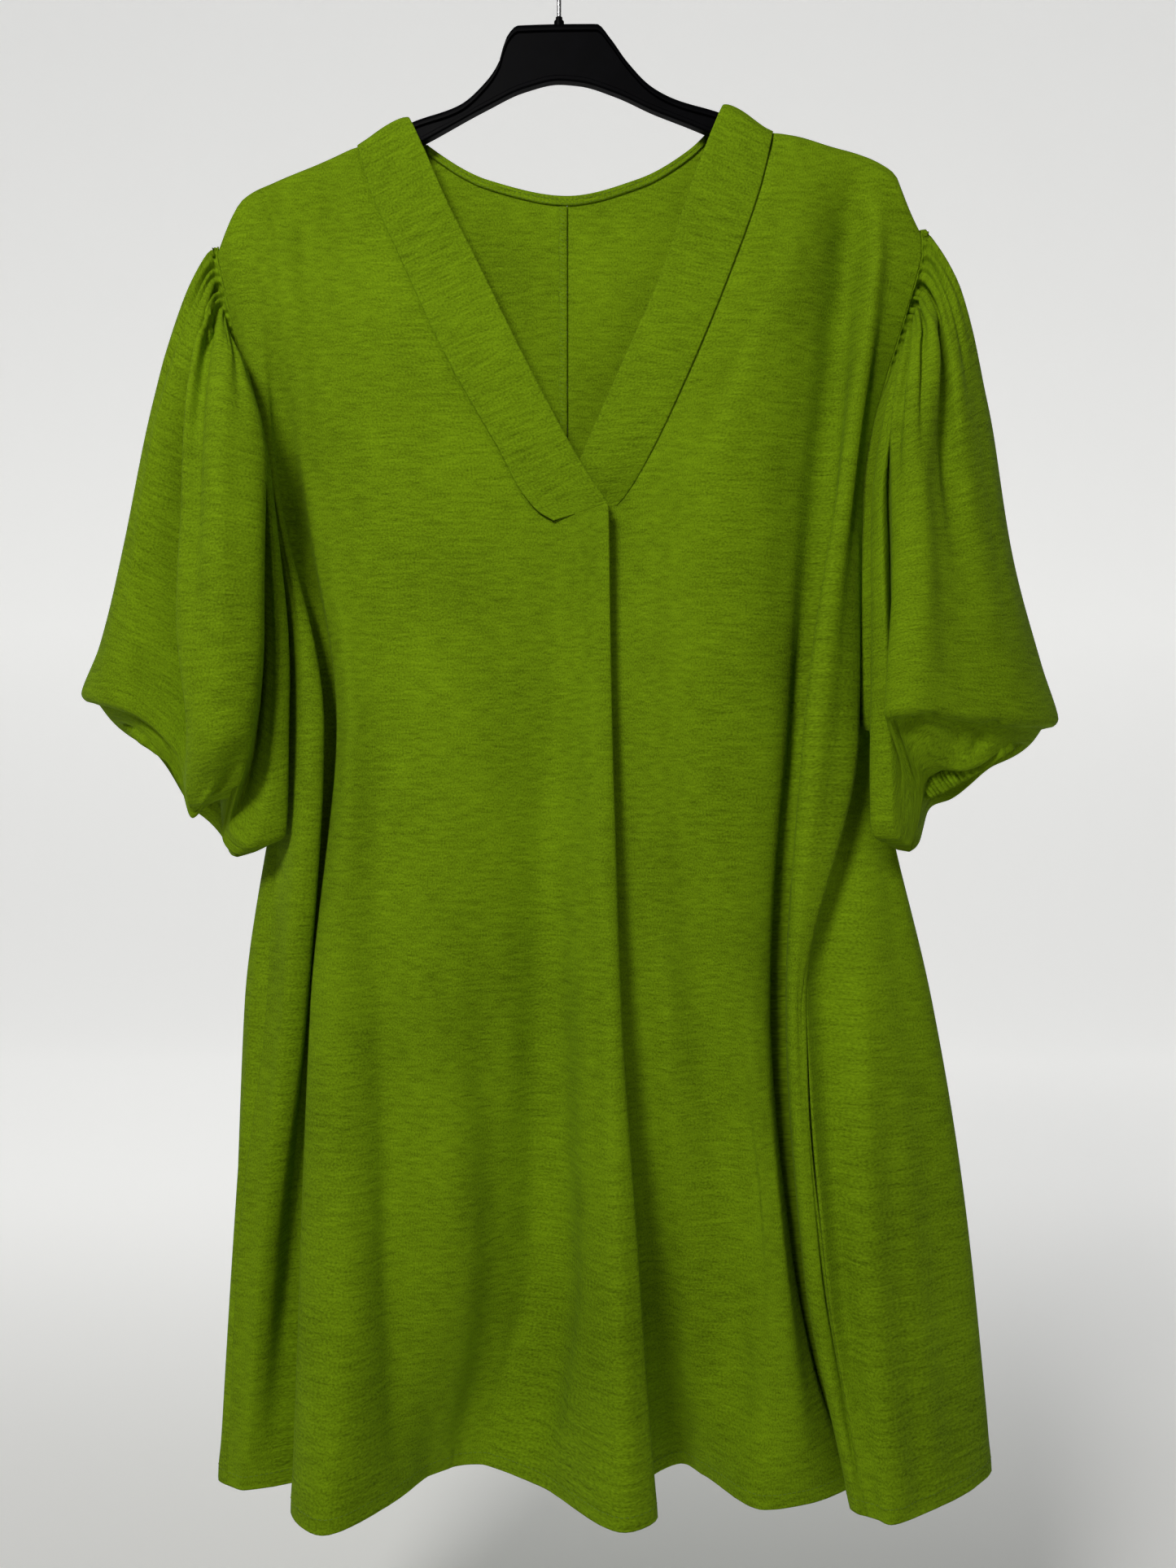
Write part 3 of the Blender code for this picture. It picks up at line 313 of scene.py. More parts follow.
LEFT_SLEEVE = listed(SleeveFold,
    ("underarm", 0, None, None, None, (-183, 14), (-187, 17), -590),
    ("seam roll", 7.5, (-193, 13), (-186, 20), (-181, 22), (-177, 22), (-176, 24), -588),
    ("inner edge", 15, (-186, 20), (-174, 28), (-165, 33), (-166, 32), (-168, 30), -585),
    ("inner fold", 30, (-189, 27), (-176, 36), (-171, 40), (-177, 40), (-186, 38), -590),
    ("inner crease", 45, (-198, 21), (-186, 27), (-182, 29), (-189, 30), (-201, 32), -578),
    ("middle in", 60, (-190, 36), (-174, 55), (-174, 62), (-180, 61), (-189, 53), -551),
    ("middle fold", 82.5, (-199, 45), (-197, 70), (-197, 76), (-198, 76), (-206, 53), -558),
    ("middle out", 105, (-219, 38), (-222, 57), (-225, 62), (-219, 62), (-223, 47), -563),
    ("outer crease", 120, (-218, 28), (-218, 27), (-220, 28), (-223, 34), (-231, 40), -536),
    ("outer fold", 142.5, (-228, 24), (-245, 33), (-257, 37), (-261, 41), (-262, 41), -508),
    ("outer side", 180, (-236, 6), (-255, 6), (-273, 6), (-290, 6), (-302, 6), -498),
    ("outer back", 217.5, (-228, -14), (-243, -23), (-256, -27), (-267, -27), (-274, -25), -512),
    ("back crease", 240, (-217, -12), (-224, -14), (-232, -15), (-245, -17), (-258, -18), -530),
    ("middle back", 277.5, (-207, -15), (-205, -29), (-208, -34), (-224, -33), (-240, -26), -564),
    ("inner back", 322.5, (-197, -12), (-191, -20), (-191, -24), (-209, -26), (-218, -24), -583),
    ("underarm", 360, None, None, None, (-183, 14), (-187, 17), -590),
)
RIGHT_SLEEVE = listed(SleeveFold,
    ("underarm", 0, None, None, None, (202, 18), (205, 21), -586),
    ("seam roll", 7.5, (203, 16), (199, 20), (196, 20), (197, 25), (198, 26), -586),
    ("inner edge", 15, (203, 20), (194, 27), (193, 32), (192, 32), (193, 32), -584),
    ("inner fold", 30, (207, 27), (198, 37), (200, 42), (203, 40), (205, 38), -584),
    ("inner crease", 45, (211, 28), (205, 29), (206, 29), (209, 35), (211, 35), -550),
    ("upper in", 60, (210, 38), (200, 54), (200, 58), (197, 57), (196, 55), -512),
    ("upper fold", 82.5, (219, 45), (214, 65), (216, 69), (215, 69), (213, 67), -509),
    ("soft trough", 105, (232, 36), (231, 50), (238, 54), (242, 57), (244, 57), -512),
    ("outer fold", 142.5, (245, 24), (253, 40), (263, 45), (275, 45), (282, 42), -515),
    ("outer side", 180, (254, 6), (271, 6), (286, 6), (305.5, 6), (316, 6), -514),
    ("outer back", 217.5, (245, -15), (257, -25), (268, -29), (281, -29), (288, -27), -524),
    ("back crease", 240, (233, -12), (236, -14), (242, -16), (252, -16), (258, -16), -538),
    ("middle back", 277.5, (219, -15), (216, -29), (224, -34), (238, -33), (245, -30), -556),
    ("inner back", 322.5, (207, -12), (203, -19), (214, -18), (232, -12), (236, -10), -572),
    ("underarm", 360, None, None, None, (202, 18), (205, 21), -586),
)

# Elastic cuffs: the middle of the ring in millimetres, its half length and half depth, and the
# tilt of its long way in degrees, outer end up. The angle table says where round the ring the
# sleeve's turns end: more of the front's cloth is drawn towards the body.
CUFF_TURNS = (0, 45, 60, 120, 180, 277.5, 360)
CUFF_ANGLES = (0, 28, 40, 78, 180, 277.5, 360)
Cuff = namedtuple("Cuff", "across out height half_long half_deep tilt")
LEFT_CUFF = Cuff(-236, 14, -524, 35, 18, 34)
RIGHT_CUFF = Cuff(254, 15, -531, 34, 18, 31)

# Hanger outline: the top and bottom edges, each point as (across, height) in millimetres
HANGER_TOP = (
    (-203, -185), (-180, -169.5), (-149, -156), (-128, -146), (-93, -127.5), (-63, -116.5),
    (-49, -104.5), (-38, -88.5), (-34, -74.5), (-26, -66), (24, -65), (33, -74.5),
    (43, -88.5), (59, -105), (74, -113), (102, -121.5), (136, -137), (172, -146.2),
    (208, -160.5), (213, -167),
)
HANGER_BOTTOM = (
    (-203, -194), (-180, -184), (-149, -170), (-128, -160), (-89, -142), (-47, -119),
    (-22, -107), (0, -102), (13, -103), (36, -110), (60, -121), (83, -130), (95, -135),
    (136, -152), (172, -161), (208, -172), (213, -176),
)

OUTWARD = {"left": -1.0, "right": 1.0}

# Where the cloth's top edges are looked for, and how often the span is halved
TOP_SEARCH_Z = (-0.45, -0.110)
HALVINGS = 30

# How finely the cloth is divided. Quarter is the rise of the rows round a quarter turn.
LEAST_COLUMNS = 4
EDGE_STEP = 0.0008
ROLL_ROWS = 8
QUARTER = np.sin(np.linspace(0, math.pi / 2, ROLL_ROWS + 1)[1:])
BAND_ROWS = 70
BAND_COLUMNS = 12
BAND_EDGE_SHARES = (0.0, 0.015, 0.04)
BINDING_COLUMNS = 90
BINDING_ROWS = 6
SLEEVE_COLUMNS = 300
CUFF_COLUMNS = 288
CUFF_ROWS = 9
SLEEVE_ROWS = np.concatenate([
    (0.0, 0.004, 0.01), np.linspace(0.02, 0.96, 80), np.linspace(0.97, 1.06, 10),
    np.linspace(1.07, 1.3, 22),
])

# Soft folds of the cloth. On the body, a fold starts and ends at shares of the way from its fold
# line to the next one, or back to the one before if less than nothing, and start and end are
# heights in millimetres. On a sleeve it starts and ends at turns, and start and end are stations.
# Width and depth are in millimetres, and a trough's depth is less than nothing. Rise and fall are
# the shares of its length over which it comes and goes.
SoftFold = namedtuple("SoftFold", "name start_at end_at start end width depth rise fall")
BodyFold = namedtuple("BodyFold", "name line start_at end_at start end width depth rise fall")
FRONT_CREASES = listed(BodyFold,
    ("left yoke trough", "first crest", 0.0, 0.35, -430, -175, 9, -2.4, 0.4, 0.15),
    ("left yoke ridge", "front left edge", 0.4, 0.6, -400, -185, 8, 1.6, 0.4, 0.2),
    ("left yoke dip", "first trough", 0.2, 0.1, -390, -170, 9, -1.5, 0.5, 0.2),
    ("left band ridge", "left neck point", -0.35, -0.2, -470, -180, 11, 1.4, 0.4, 0.3),
    ("right yoke trough", "right valley", 0.3, 0.25, -620, -155, 12, -13.0, 0.3, 0.12),
    ("right yoke side", "right fall", 0.6, 0.6, -560, -155, 16, -5.0, 0.4, 0.15),
    ("right ridge lift", "right ridge edge", 0.7, 0.3, -640, -170, 8, 8.0, 0.3, 0.15),
    ("right yoke ridge", "right neck point", 0.45, 0.5, -420, -165, 10, 1.5, 0.4, 0.2),
    ("right yoke dip", "right neck point", 0.15, 0.1, -440, -160, 8, -1.2, 0.4, 0.2),
    ("bust left", "left neck point", 0.45, 0.3, -700, -430, 22, 2.0, 0.5, 0.4),
    ("left plain dip", "left neck point", 0.6, 0.55, -975, -560, 12, -2.2, 0.2, 0.5),
    ("left plain ridge", "left neck point", 0.35, 0.3, -975, -600, 12, 1.8, 0.2, 0.5),
    ("beside first crest", "first crest", 0.45, 0.5, -975, -580, 9, 1.2, 0.2, 0.4),
    ("under the V", "centre trough", 0.6, 0.5, -600, -400, 10, -1.4, 0.5, 0.3),
    ("centre dip", "centre trough", 0.85, 0.0, -979, -430, 18, -12.0, 0.1, 0.6),
    ("beside the pleat", "centre crest", 0.1, 0.3, -979, -420, 8, 3.0, 0.1, 0.5),
    ("deep right valley", "right valley", 0.0, -0.2, -979, -430, 10, -12.0, 0.15, 0.4),
    ("deep left valley", "left valley end", -0.4, -0.5, -640, -270, 7, -9.0, 0.3, 0.3),
    ("right plain dip", "right slope", 0.6, 0.5, -979, -480, 18, -11.0, 0.15, 0.6),
    ("right fall lift", "right fall", -0.1, -0.2, -979, -600, 9, 3.0, 0.15, 0.6),
    ("first trough deeper", "first trough", 0.1, 0.1, -979, -640, 10, -3.5, 0.15, 0.5),
    ("pleat dip", "pleat floor", 0.35, 0.4, -970, -560, 9, -2.2, 0.3, 0.4),
    ("pleat ridge", "pleat floor", 0.85, 0.8, -975, -560, 10, 2.4, 0.3, 0.5),
    ("right slope dip", "right slope", 0.3, 0.35, -975, -540, 12, -2.8, 0.2, 0.5),
    ("right plain ridge", "right slope", 0.7, 0.6, -975, -600, 10, 1.6, 0.2, 0.5),
    ("right fall ridge", "right neck point", 0.5, 0.6, -978, -640, 9, 1.6, 0.2, 0.5),
    ("right valley side", "right fall", 0.4, 0.45, -978, -620, 8, -1.6, 0.2, 0.5),
    ("left ridge dent", "left ridge", -0.4, -0.3, -960, -560, 6, -1.6, 0.2, 0.4),
    ("right ridge dent", "right ridge", 0.45, 0.4, -900, -560, 7, -1.8, 0.3, 0.4),
)
BACK_RIGHT_CREASES = listed(BodyFold,
    ("pressed crease", "right back crease", 0.35, 0.0, -979, -640, 3.5, 1.3, 0.02, 0.3),
    ("beside the pressed crease", "right back crease", 0.75, 0.5, -979, -680, 7, -1.8, 0.05, 0.4),
    ("side panel dip", "right back slope", 0.5, 0.4, -979, -560, 12, -2.0, 0.1, 0.5),
    ("side panel ridge", "right back fall", 0.4, 0.5, -979, -600, 9, 1.6, 0.1, 0.5),
    ("back ridge 1", "right corner", 0.5, 0.6, -979, -500, 12, 1.8, 0.1, 0.5),
    ("back dip 1", "back trough 1", 0.3, 0.6, -900, -190, 10, -1.8, 0.4, 0.2),
    ("back ridge 2", "back trough 2", 0.4, 0.3, -979, -430, 11, 1.6, 0.1, 0.5),
    ("back yoke dip", "back crest 2", -0.5, -0.3, -420, -160, 11, -1.6, 0.5, 0.2),
)
BACK_LEFT_CREASES = listed(BodyFold,
    ("back ridge 3", "centre back", 0.5, 0.6, -979, -520, 12, 1.5, 0.1, 0.5),
    ("back dip 2", "back trough 3", 0.4, 0.2, -979, -400, 11, -1.7, 0.1, 0.5),
    ("back ridge 4", "back crest 5", 0.4, 0.6, -979, -480, 12, 1.8, 0.1, 0.5),
    ("back yoke dip left", "back crest 5", -0.4, -0.1, -430, -170, 11, -1.6, 0.5, 0.2),
    ("back shoulder dip", "back trough 4", 0.3, 0.2, -400, -180, 9, -1.4, 0.5, 0.2),
    ("left side dip", "left side", 0.4, 0.5, -979, -600, 7, -1.4, 0.1, 0.4),
)
LEFT_SLEEVE_CREASES = listed(SoftFold,
    ("front trough", 96, 92, 0.03, 0.8, 6, -5.5, 0.08, 0.5),
    ("head roll", 112, 106, 0.02, 0.5, 6, 3.0, 0.2, 0.6),
    ("turned facet", 66, 96, 0.9, 1.05, 4, -4.0, 0.3, 0.3),
    ("facet ridge", 74, 104, 0.92, 1.08, 5, 3.0, 0.3, 0.3),
    ("front ridge", 84, 80, 0.1, 0.9, 8, 1.8, 0.3, 0.4),
    ("outer crease", 124, 120, 0.0, 0.95, 5, -5.0, 0.05, 0.2),
    ("outer ridge", 136, 134, 0.05, 0.9, 9, 1.6, 0.2, 0.5),
    ("outer dip", 152, 150, 0.1, 0.98, 9, -1.6, 0.3, 0.2),
    ("side dip", 186, 192, 0.1, 0.9, 10, -1.6, 0.3, 0.3),
    ("inner crease", 50, 46, 0.0, 0.98, 4, -2.2, 0.05, 0.2),
    ("inner dip", 36, 34, 0.3, 0.98, 4, -1.6, 0.4, 0.2),
    ("back crease 1", 236, 240, 0.0, 0.95, 8, -2.6, 0.1, 0.3),
    ("back ridge", 258, 262, 0.1, 0.9, 9, 1.8, 0.2, 0.4),
    ("back crease 2", 300, 296, 0.05, 0.9, 8, -2.2, 0.1, 0.4),
)
RIGHT_SLEEVE_CREASES = listed(SoftFold,
    ("front crease", 112, 104, 0.0, 0.66, 5, -6.0, 0.05, 0.6),
    ("head roll", 100, 94, 0.02, 0.5, 6, 3.0, 0.2, 0.6),
    ("second crease", 90, 84, 0.0, 0.5, 4, -4.5, 0.05, 0.6),
    ("turned facet", 96, 60, 0.96, 1.12, 5, -4.0, 0.3, 0.3),
    ("outer facet", 128, 120, 0.95, 1.15, 5, -4.5, 0.3, 0.3),
    ("front ridge", 122, 122, 0.08, 0.8, 9, 1.8, 0.2, 0.5),
    ("inner crease", 68, 62, 0.0, 0.5, 4, -2.2, 0.05, 0.5),
    ("upper dip", 92, 96, 0.3, 0.97, 9, -1.8, 0.4, 0.2),
    ("outer dip", 150, 146, 0.1, 0.95, 10, -1.8, 0.3, 0.3),
    ("side dip", 184, 190, 0.1, 0.9, 10, -1.6, 0.3, 0.3),
    ("under crease", 42, 46, 0.0, 0.98, 4, -1.8, 0.05, 0.2),
    ("back crease 1", 238, 240, 0.0, 0.95, 8, -2.6, 0.1, 0.3),
    ("back ridge", 262, 264, 0.1, 0.9, 9, 1.8, 0.2, 0.4),
    ("back crease 2", 304, 300, 0.05, 0.9, 8, -2.2, 0.1, 0.4),
)

# Gathers at the sleeves' heads: each one's turn, where it runs out, and its width and depth in
# millimetres
Gather = namedtuple("Gather", "turn end width depth")
LEFT_GATHERS = listed(Gather,
    (12, 0.12, 2.2, 1.2), (24, 0.2, 2.4, 2.0), (37, 0.13, 2.2, 1.8), (50, 0.3, 2.6, 2.8),
    (62, 0.13, 2.2, 2.2), (74, 0.18, 2.4, 2.6), (86, 0.11, 2.0, 2.0), (98, 0.34, 2.8, 3.0),
    (111, 0.15, 2.2, 2.4), (124, 0.42, 2.8, 3.2), (138, 0.16, 2.4, 2.0), (150, 0.24, 2.6, 2.2),
    (165, 0.15, 2.4, 1.6), (182, 0.22, 2.8, 1.8), (197, 0.14, 2.4, 2.0), (211, 0.26, 2.6, 2.4),
    (226, 0.13, 2.4, 2.0), (240, 0.36, 2.8, 2.8), (256, 0.14, 2.4, 2.2), (270, 0.2, 2.4, 2.4),
    (285, 0.13, 2.4, 1.8), (300, 0.28, 2.6, 2.2), (316, 0.13, 2.4, 1.6), (332, 0.16, 2.4, 1.2),
)
RIGHT_GATHERS = listed(Gather,
    (14, 0.13, 2.2, 1.2), (27, 0.18, 2.4, 1.8), (41, 0.3, 2.4, 2.4), (53, 0.12, 2.2, 2.2),
    (66, 0.4, 2.8, 3.0), (78, 0.13, 2.2, 2.4), (90, 0.17, 2.4, 2.6), (101, 0.12, 2.2, 2.2),
    (113, 0.44, 2.8, 3.2), (127, 0.16, 2.4, 2.0), (141, 0.22, 2.6, 2.2), (156, 0.14, 2.4, 1.6),
    (172, 0.24, 2.8, 1.8), (188, 0.13, 2.4, 1.6), (203, 0.2, 2.6, 2.2), (218, 0.13, 2.4, 2.0),
    (232, 0.34, 2.8, 2.8), (248, 0.14, 2.4, 2.0), (263, 0.22, 2.4, 2.4), (279, 0.13, 2.4, 2.0),
    (294, 0.3, 2.6, 2.4), (310, 0.14, 2.4, 1.8), (326, 0.16, 2.4, 1.4), (342, 0.12, 2.2, 1.0),
)
GATHER_RISE = 0.08
GATHER_FALL = 0.85
GATHER_DEPTH = 1.7
GATHER_LENGTH = 1.8
WIDEN = 1.6

# Panels: fold lines at their edges, the sides of their armholes, their face and their soft folds
PANELS = (
    ("front", ("left seam", "right seam"), ("left", "right"), 1, FRONT_CREASES),
    ("back_right", ("right seam", "centre back"), ("right", None), -1, BACK_RIGHT_CREASES),
    ("back_left", ("centre back", "left seam"), (None, "left"), -1, BACK_LEFT_CREASES),
)

# Neck bands: the seam, the free edge, the fold lines that the seam lies between, how far the band
# is lapped forward and the sign of its way out
BANDS = (
    ("neck_band_left", LEFT_NECK_SEAM, LEFT_BAND_EDGE, ("left neck point", "centre trough"),
     BAND_LAP, 1),
    ("neck_band_right", RIGHT_NECK_SEAM, RIGHT_BAND_EDGE, ("pleat floor", "right neck point"),
     -BAND_LAP, -1),
)

# Sleeves: the fold lines, the cuff, the soft folds, the gathers and the sign of the way out
SLEEVES = (
    ("left", LEFT_SLEEVE, LEFT_CUFF, LEFT_SLEEVE_CREASES, LEFT_GATHERS, 1),
    ("right", RIGHT_SLEEVE, RIGHT_CUFF, RIGHT_SLEEVE_CREASES, RIGHT_GATHERS, -1),
)


def smooth_step(part):
    """From 0 to 1 with a level start and end."""
    part = np.clip(part, 0, 1)
    return part * part * (3 - 2 * part)


def swell(apart, width):
    """A soft hump: 1 in its middle, and almost nothing at twice its width."""
    return np.exp(-(apart / width) ** 2)


def ripple(waves, along):
    """Waves added up. Each is (how often, share, shift)."""
    return sum(share * np.cos(often * along + shift) for often, share, shift in waves)


def unit(ways):
    """The same ways with a length of 1."""
    return ways / np.maximum(np.linalg.norm(ways, axis=-1, keepdims=True), TINY)


def distances(points, axis=0):
    """How far each point lies along its line from the line's first point."""
    steps = np.linalg.norm(np.diff(points, axis=axis), axis=-1)
    return np.concatenate([0 * steps.take([0], axis=axis), np.cumsum(steps, axis=axis)], axis=axis)


def curve(knots, values, at):
    """A smooth line through values that never swings past them. Each row of values has its own at."""
    knots = np.asarray(knots, float)
    at = np.clip(np.atleast_1d(np.asarray(at, float)), knots[0], knots[-1])
    values = np.broadcast_to(np.atleast_2d(np.asarray(values, float)), (len(at), len(knots)))
    step = np.diff(knots)
    rise = np.diff(values, axis=1) / step
    before = rise[:, :-1]
    after = rise[:, 1:]
    same_way = before * after > 0
    heavy_after = 2 * step[1:] + step[:-1]
    heavy_before = step[1:] + 2 * step[:-1]
    mean = (heavy_after + heavy_before) / (
        heavy_after / np.where(same_way, before, 1) + heavy_before / np.where(same_way, after, 1))
    slope = np.concatenate([rise[:, :1], np.where(same_way, mean, 0), rise[:, -1:]], axis=1)
    span = np.clip(np.searchsorted(knots, at, side="right") - 1, 0, len(knots) - 2)
    row = np.arange(len(at))
    part = (at - knots[span]) / step[span]
    return (
        values[row, span] * (1 + 2 * part) * (1 - part) ** 2
        + slope[row, span] * step[span] * part * (1 - part) ** 2
        + values[row, span + 1] * part * part * (3 - 2 * part)
        + slope[row, span + 1] * step[span] * part * part * (part - 1)
    )


def line_height(points, across):
    """The height of a line of (across, height) points."""
    table = np.array(sorted(points), float) * MM
    return curve(table[:, 0], table[:, 1], across)


def line_across(points, height):
    """The place across of a line of (across, height) points that climbs all the way."""
    table = np.array(sorted(points, key=lambda point: point[1]), float) * MM
    return curve(table[:, 1], table[:, 0], height)


class Ring:
    """The body's ring of cloth, and where each fold line lies in it."""

    def __init__(self):
        folds = FRONT_FOLDS + BACK_FOLDS
        self.names = [fold.name for fold in folds]
        self.across = np.array([fold.across for fold in folds]) * MM
        self.out = np.array([fold.out for fold in folds]) * MM
        steps = np.hypot(*(np.roll(table, -1, axis=0) - table for table in (self.across, self.out)))
        self.steps = steps.max(axis=1)
        ways = np.cumsum(steps / steps.sum(axis=0), axis=0).mean(axis=1)
        self.places = np.concatenate([[0.0], ways])

    def place(self, name):
        """Where a fold line lies, as a share of the way round."""
        return self.places[self.names.index(name)]

    def point(self, place, height):
        """Across and out of the ring at each place round it and each height."""
        place = np.atleast_1d(np.asarray(place, float)) % 1.0
        height = np.broadcast_to(np.atleast_1d(np.asarray(height, float)), place.shape)
        turns, index = np.divmod(np.arange(-WRAP, len(self.names) + WRAP + 1), len(self.names))
        found = []
        for table in (self.across, self.out):
            lines = np.stack([curve(LEVEL_HEIGHTS, row, height) for row in table], axis=1)
            found.append(curve(self.places[index] + turns, lines[:, index], place))
        return found


def closing(across, height):
    """How far the cloth still stands from the shoulder seam: 1 below the roll and 0 at the seam."""
    top = line_height(SHOULDER_LINE, across)
    part = np.clip((height - (top - SHOULDER_ROLL)) / SHOULDER_ROLL, 0, 1)
    return np.sqrt(1 - part * part)


def cloth_point(across, out, height, face):
    """Points (x, y, z) of cloth that closes on the shoulder seam. Face is 1 in front, -1 behind."""
    rest = SHOULDER_SEAM_OUT + face * SHOULDER_GAP / 2
    out = rest + (out - rest) * closing(across, height)
    return np.stack([across, -out, np.broadcast_to(height, across.shape)], axis=-1)


def body_point(ring, place, height, face):
    """Points of the body's cloth at places round the ring."""
    return cloth_point(*ring.point(place, height), height, face)


def turning_point(test, low, high):
    """The height or place, found by halving, at which test turns from false to true."""
    for _ in range(HALVINGS):
        middle = (low + high) / 2
        reached = test(middle)
        high = np.where(reached, middle, high)
        low = np.where(reached, low, middle)
    return (low + high) / 2


def side_place(ring, side, face, height):
    """The place round the ring of a panel's edge: the side seam, and the armhole above it."""
    seam, neighbour = {
        ("left", 1): (0.0, ring.place("left ridge")),
        ("left", -1): (1.0, ring.place("left hollow")),
        ("right", 1): (ring.place("right seam"), ring.place("right ridge end")),
        ("right", -1): (ring.place("right seam"), ring.place("right back crease")),
    }[side, face]
    part = np.clip((height - FOOT_Z) / ARMHOLE_FOOT, 0, 1)
    return seam + (neighbour - seam) * ARMHOLE_SHARE[face] * np.sqrt(1 - (1 - part) ** 2)


def spread(ring, first, last, step):
    """Places from one fold line to another, at most one step apart, with close columns at the edges."""
    names = ring.names + [ring.names[0]]
    start = names.index(first)
    end = len(names) - 1 if last == names[0] else names.index(last)
    places = [ring.places[end]]
    for index in range(start, end):
        count = max(LEAST_COLUMNS, math.ceil(ring.steps[index] / step))
        places.extend(np.linspace(ring.places[index], ring.places[index + 1], count, endpoint=False))
    for near, beside, way in ((start, start, 1), (end, end - 1, -1)):
        unit_step = (ring.places[beside + 1] - ring.places[beside]) / ring.steps[beside]
        places.append(ring.places[near] + way * unit_step * EDGE_STEP)
    return np.array(sorted(places))


def panel_heights(tops, step):
    """Rows from the hem to the armholes' foot, on to each column's top and round the shoulder."""
    hem = LEVEL_HEIGHTS[0]
    low_rows = math.ceil((FOOT_Z - hem) / step)
    high_rows = math.ceil((tops.max() - SHOULDER_ROLL - FOOT_Z) / step)
    first = np.concatenate([[hem, hem + EDGE_STEP], np.linspace(hem, FOOT_Z, low_rows + 1)[1:]])
    straight = np.linspace(0, 1, high_rows + 1)[1:, None]
    return np.concatenate([
        first[:, None] + 0 * tops,
        FOOT_Z + (tops - SHOULDER_ROLL - FOOT_Z) * straight,
        tops - SHOULDER_ROLL + SHOULDER_ROLL * QUARTER[:, None],
    ])


def squeeze(places, ring, height, ends, face):
    """Moves the columns beside an armhole so that the panel ends on its edge at these heights."""
    moved = np.array(places)
    for side, seam, way in zip(ends, (places[0], places[-1]), (1, -1)):
        if side is None:
            continue
        edge = side_place(ring, side, face, height)
        fold = seam + (side_place(ring, side, face, np.array([0.0])) - seam) / ARMHOLE_SHARE[face]
        inside = (places - seam) * way <= (fold - seam) * way
        part = (places - seam) / (fold - seam)
        moved = np.where(inside, edge + (fold - edge) * part, moved)
    return moved


def panel_grid(ring, places, ends, face, necks, step):
    """Rows of points from hem to top for a panel. Ends are the sides of its armholes, and necks the
    (from, to, test) stretches of its top."""

    def over(height):
        across, _ = ring.point(squeeze(places, ring, height, ends, face), height)
        reached = height >= line_height(SHOULDER_LINE, across)
        for start, end, inside in necks:
            reached = np.where((places > start) & (places < end), inside(across, height), reached)
        return reached

    low, high = (np.full(len(places), height) for height in TOP_SEARCH_Z)
    heights = panel_heights(turning_point(over, low, high), step)
    return np.array([
        body_point(ring, squeeze(places, ring, height, ends, face), height, face)
        for height in heights])


def above(line):
    """A test for heights above a line."""
    return lambda across, height: height >= line_height(line, across)


def panel_necks(ring, name):
    """The stretches of a panel's top that the neck cuts: from, to, and the test for being past it."""
    if name == "back_right":
        return ((ring.place("back crest 2"), 1.0, above(BACK_NECK)),)
    if name == "back_left":
        return ((0.0, ring.place("back crest 5"), above(BACK_NECK)),)
    left = ring.place("centre trough")
    right = ring.place("pleat floor")
    base = (LEFT_NECK_SEAM[0], RIGHT_NECK_SEAM[0])
    return (
        (ring.place("left neck point"), left,
         lambda across, height: across >= line_across(LEFT_NECK_SEAM, height)),
        (left - NECK_OVERLAP, right + NECK_OVERLAP, above(base)),
        (right, ring.place("right neck point"),
         lambda across, height: across <= line_across(RIGHT_NECK_SEAM, height)),
    )


def pull_back(grid, top):
    """Shortens a grid by half the gap of its seams, at its sides and, if told to, at its top."""
    grid = grid.copy()
    for end, inner in ((0, 1), (-1, -2)):
        grid[:, end] += unit(grid[:, inner] - grid[:, end]) * SIDE_GAP / 2
    if top:
        grid[-1] += unit(grid[-2] - grid[-1]) * SEAM_GAP / 2
    return grid


def place_across(ring, first, last, across, height):
    """The place between two fold lines at which the ring lies this far across."""
    low, high = (np.full(len(across), ring.place(name)) for name in (first, last))
    rising = ring.point(high, height)[0] > ring.point(low, height)[0]
    return turning_point(
        lambda place: (ring.point(place, height)[0] >= across) == rising, low, high)


def band_grid(ring, seam, edge, folds, lap):
    """A neck band from its seam on the front to its free edge, and from the V up to the shoulder."""
    length = math.dist(seam[0], seam[-1]) * MM
    roll = SHOULDER_ROLL * BAND_ROLL / length
    part = np.concatenate([
        [0.0, EDGE_STEP / length], np.linspace(0, 1 - roll, BAND_ROWS)[1:], 1 - roll * (1 - QUARTER)])
    side = np.array(BAND_EDGE_SHARES)
    share = np.concatenate([side, np.linspace(0, 1, BAND_COLUMNS + 1)[1:-1], 1 - side[::-1]])
    sides = []
    for points in (seam, edge):
        table = np.array(points, float) * MM
        run = distances(table)
        sides.append(np.stack([curve(run / run[-1], table[:, axis], part) for axis in (0, 1)], 1))
    sides[0][:, 0] = line_across(seam, sides[0][:, 1])
    place = place_across(ring, *folds, *sides[0].T)
    seam_out = ring.point(place, sides[0][:, 1])[1]
    out = np.repeat(seam_out + lap * np.maximum(0, 1 - part / BAND_LAP_PART), len(share))
    lines = sides[0][:, None] * (1 - share)[:, None] + sides[1][:, None] * share[:, None]
    across, height = lines.reshape(-1, 2).T
    grid = cloth_point(across, out, height, 1).reshape(len(part), len(share), 3)
    return grid + unit(grid[:, -1] - grid[:, 0])[:, None] * BAND_CLEAR


def back_strip(ring, across, height):
    """Points of the back's cloth at each place across and height."""
    place = place_across(ring, "right corner", "left corner", across, height)
    return body_point(ring, place, height, -1)


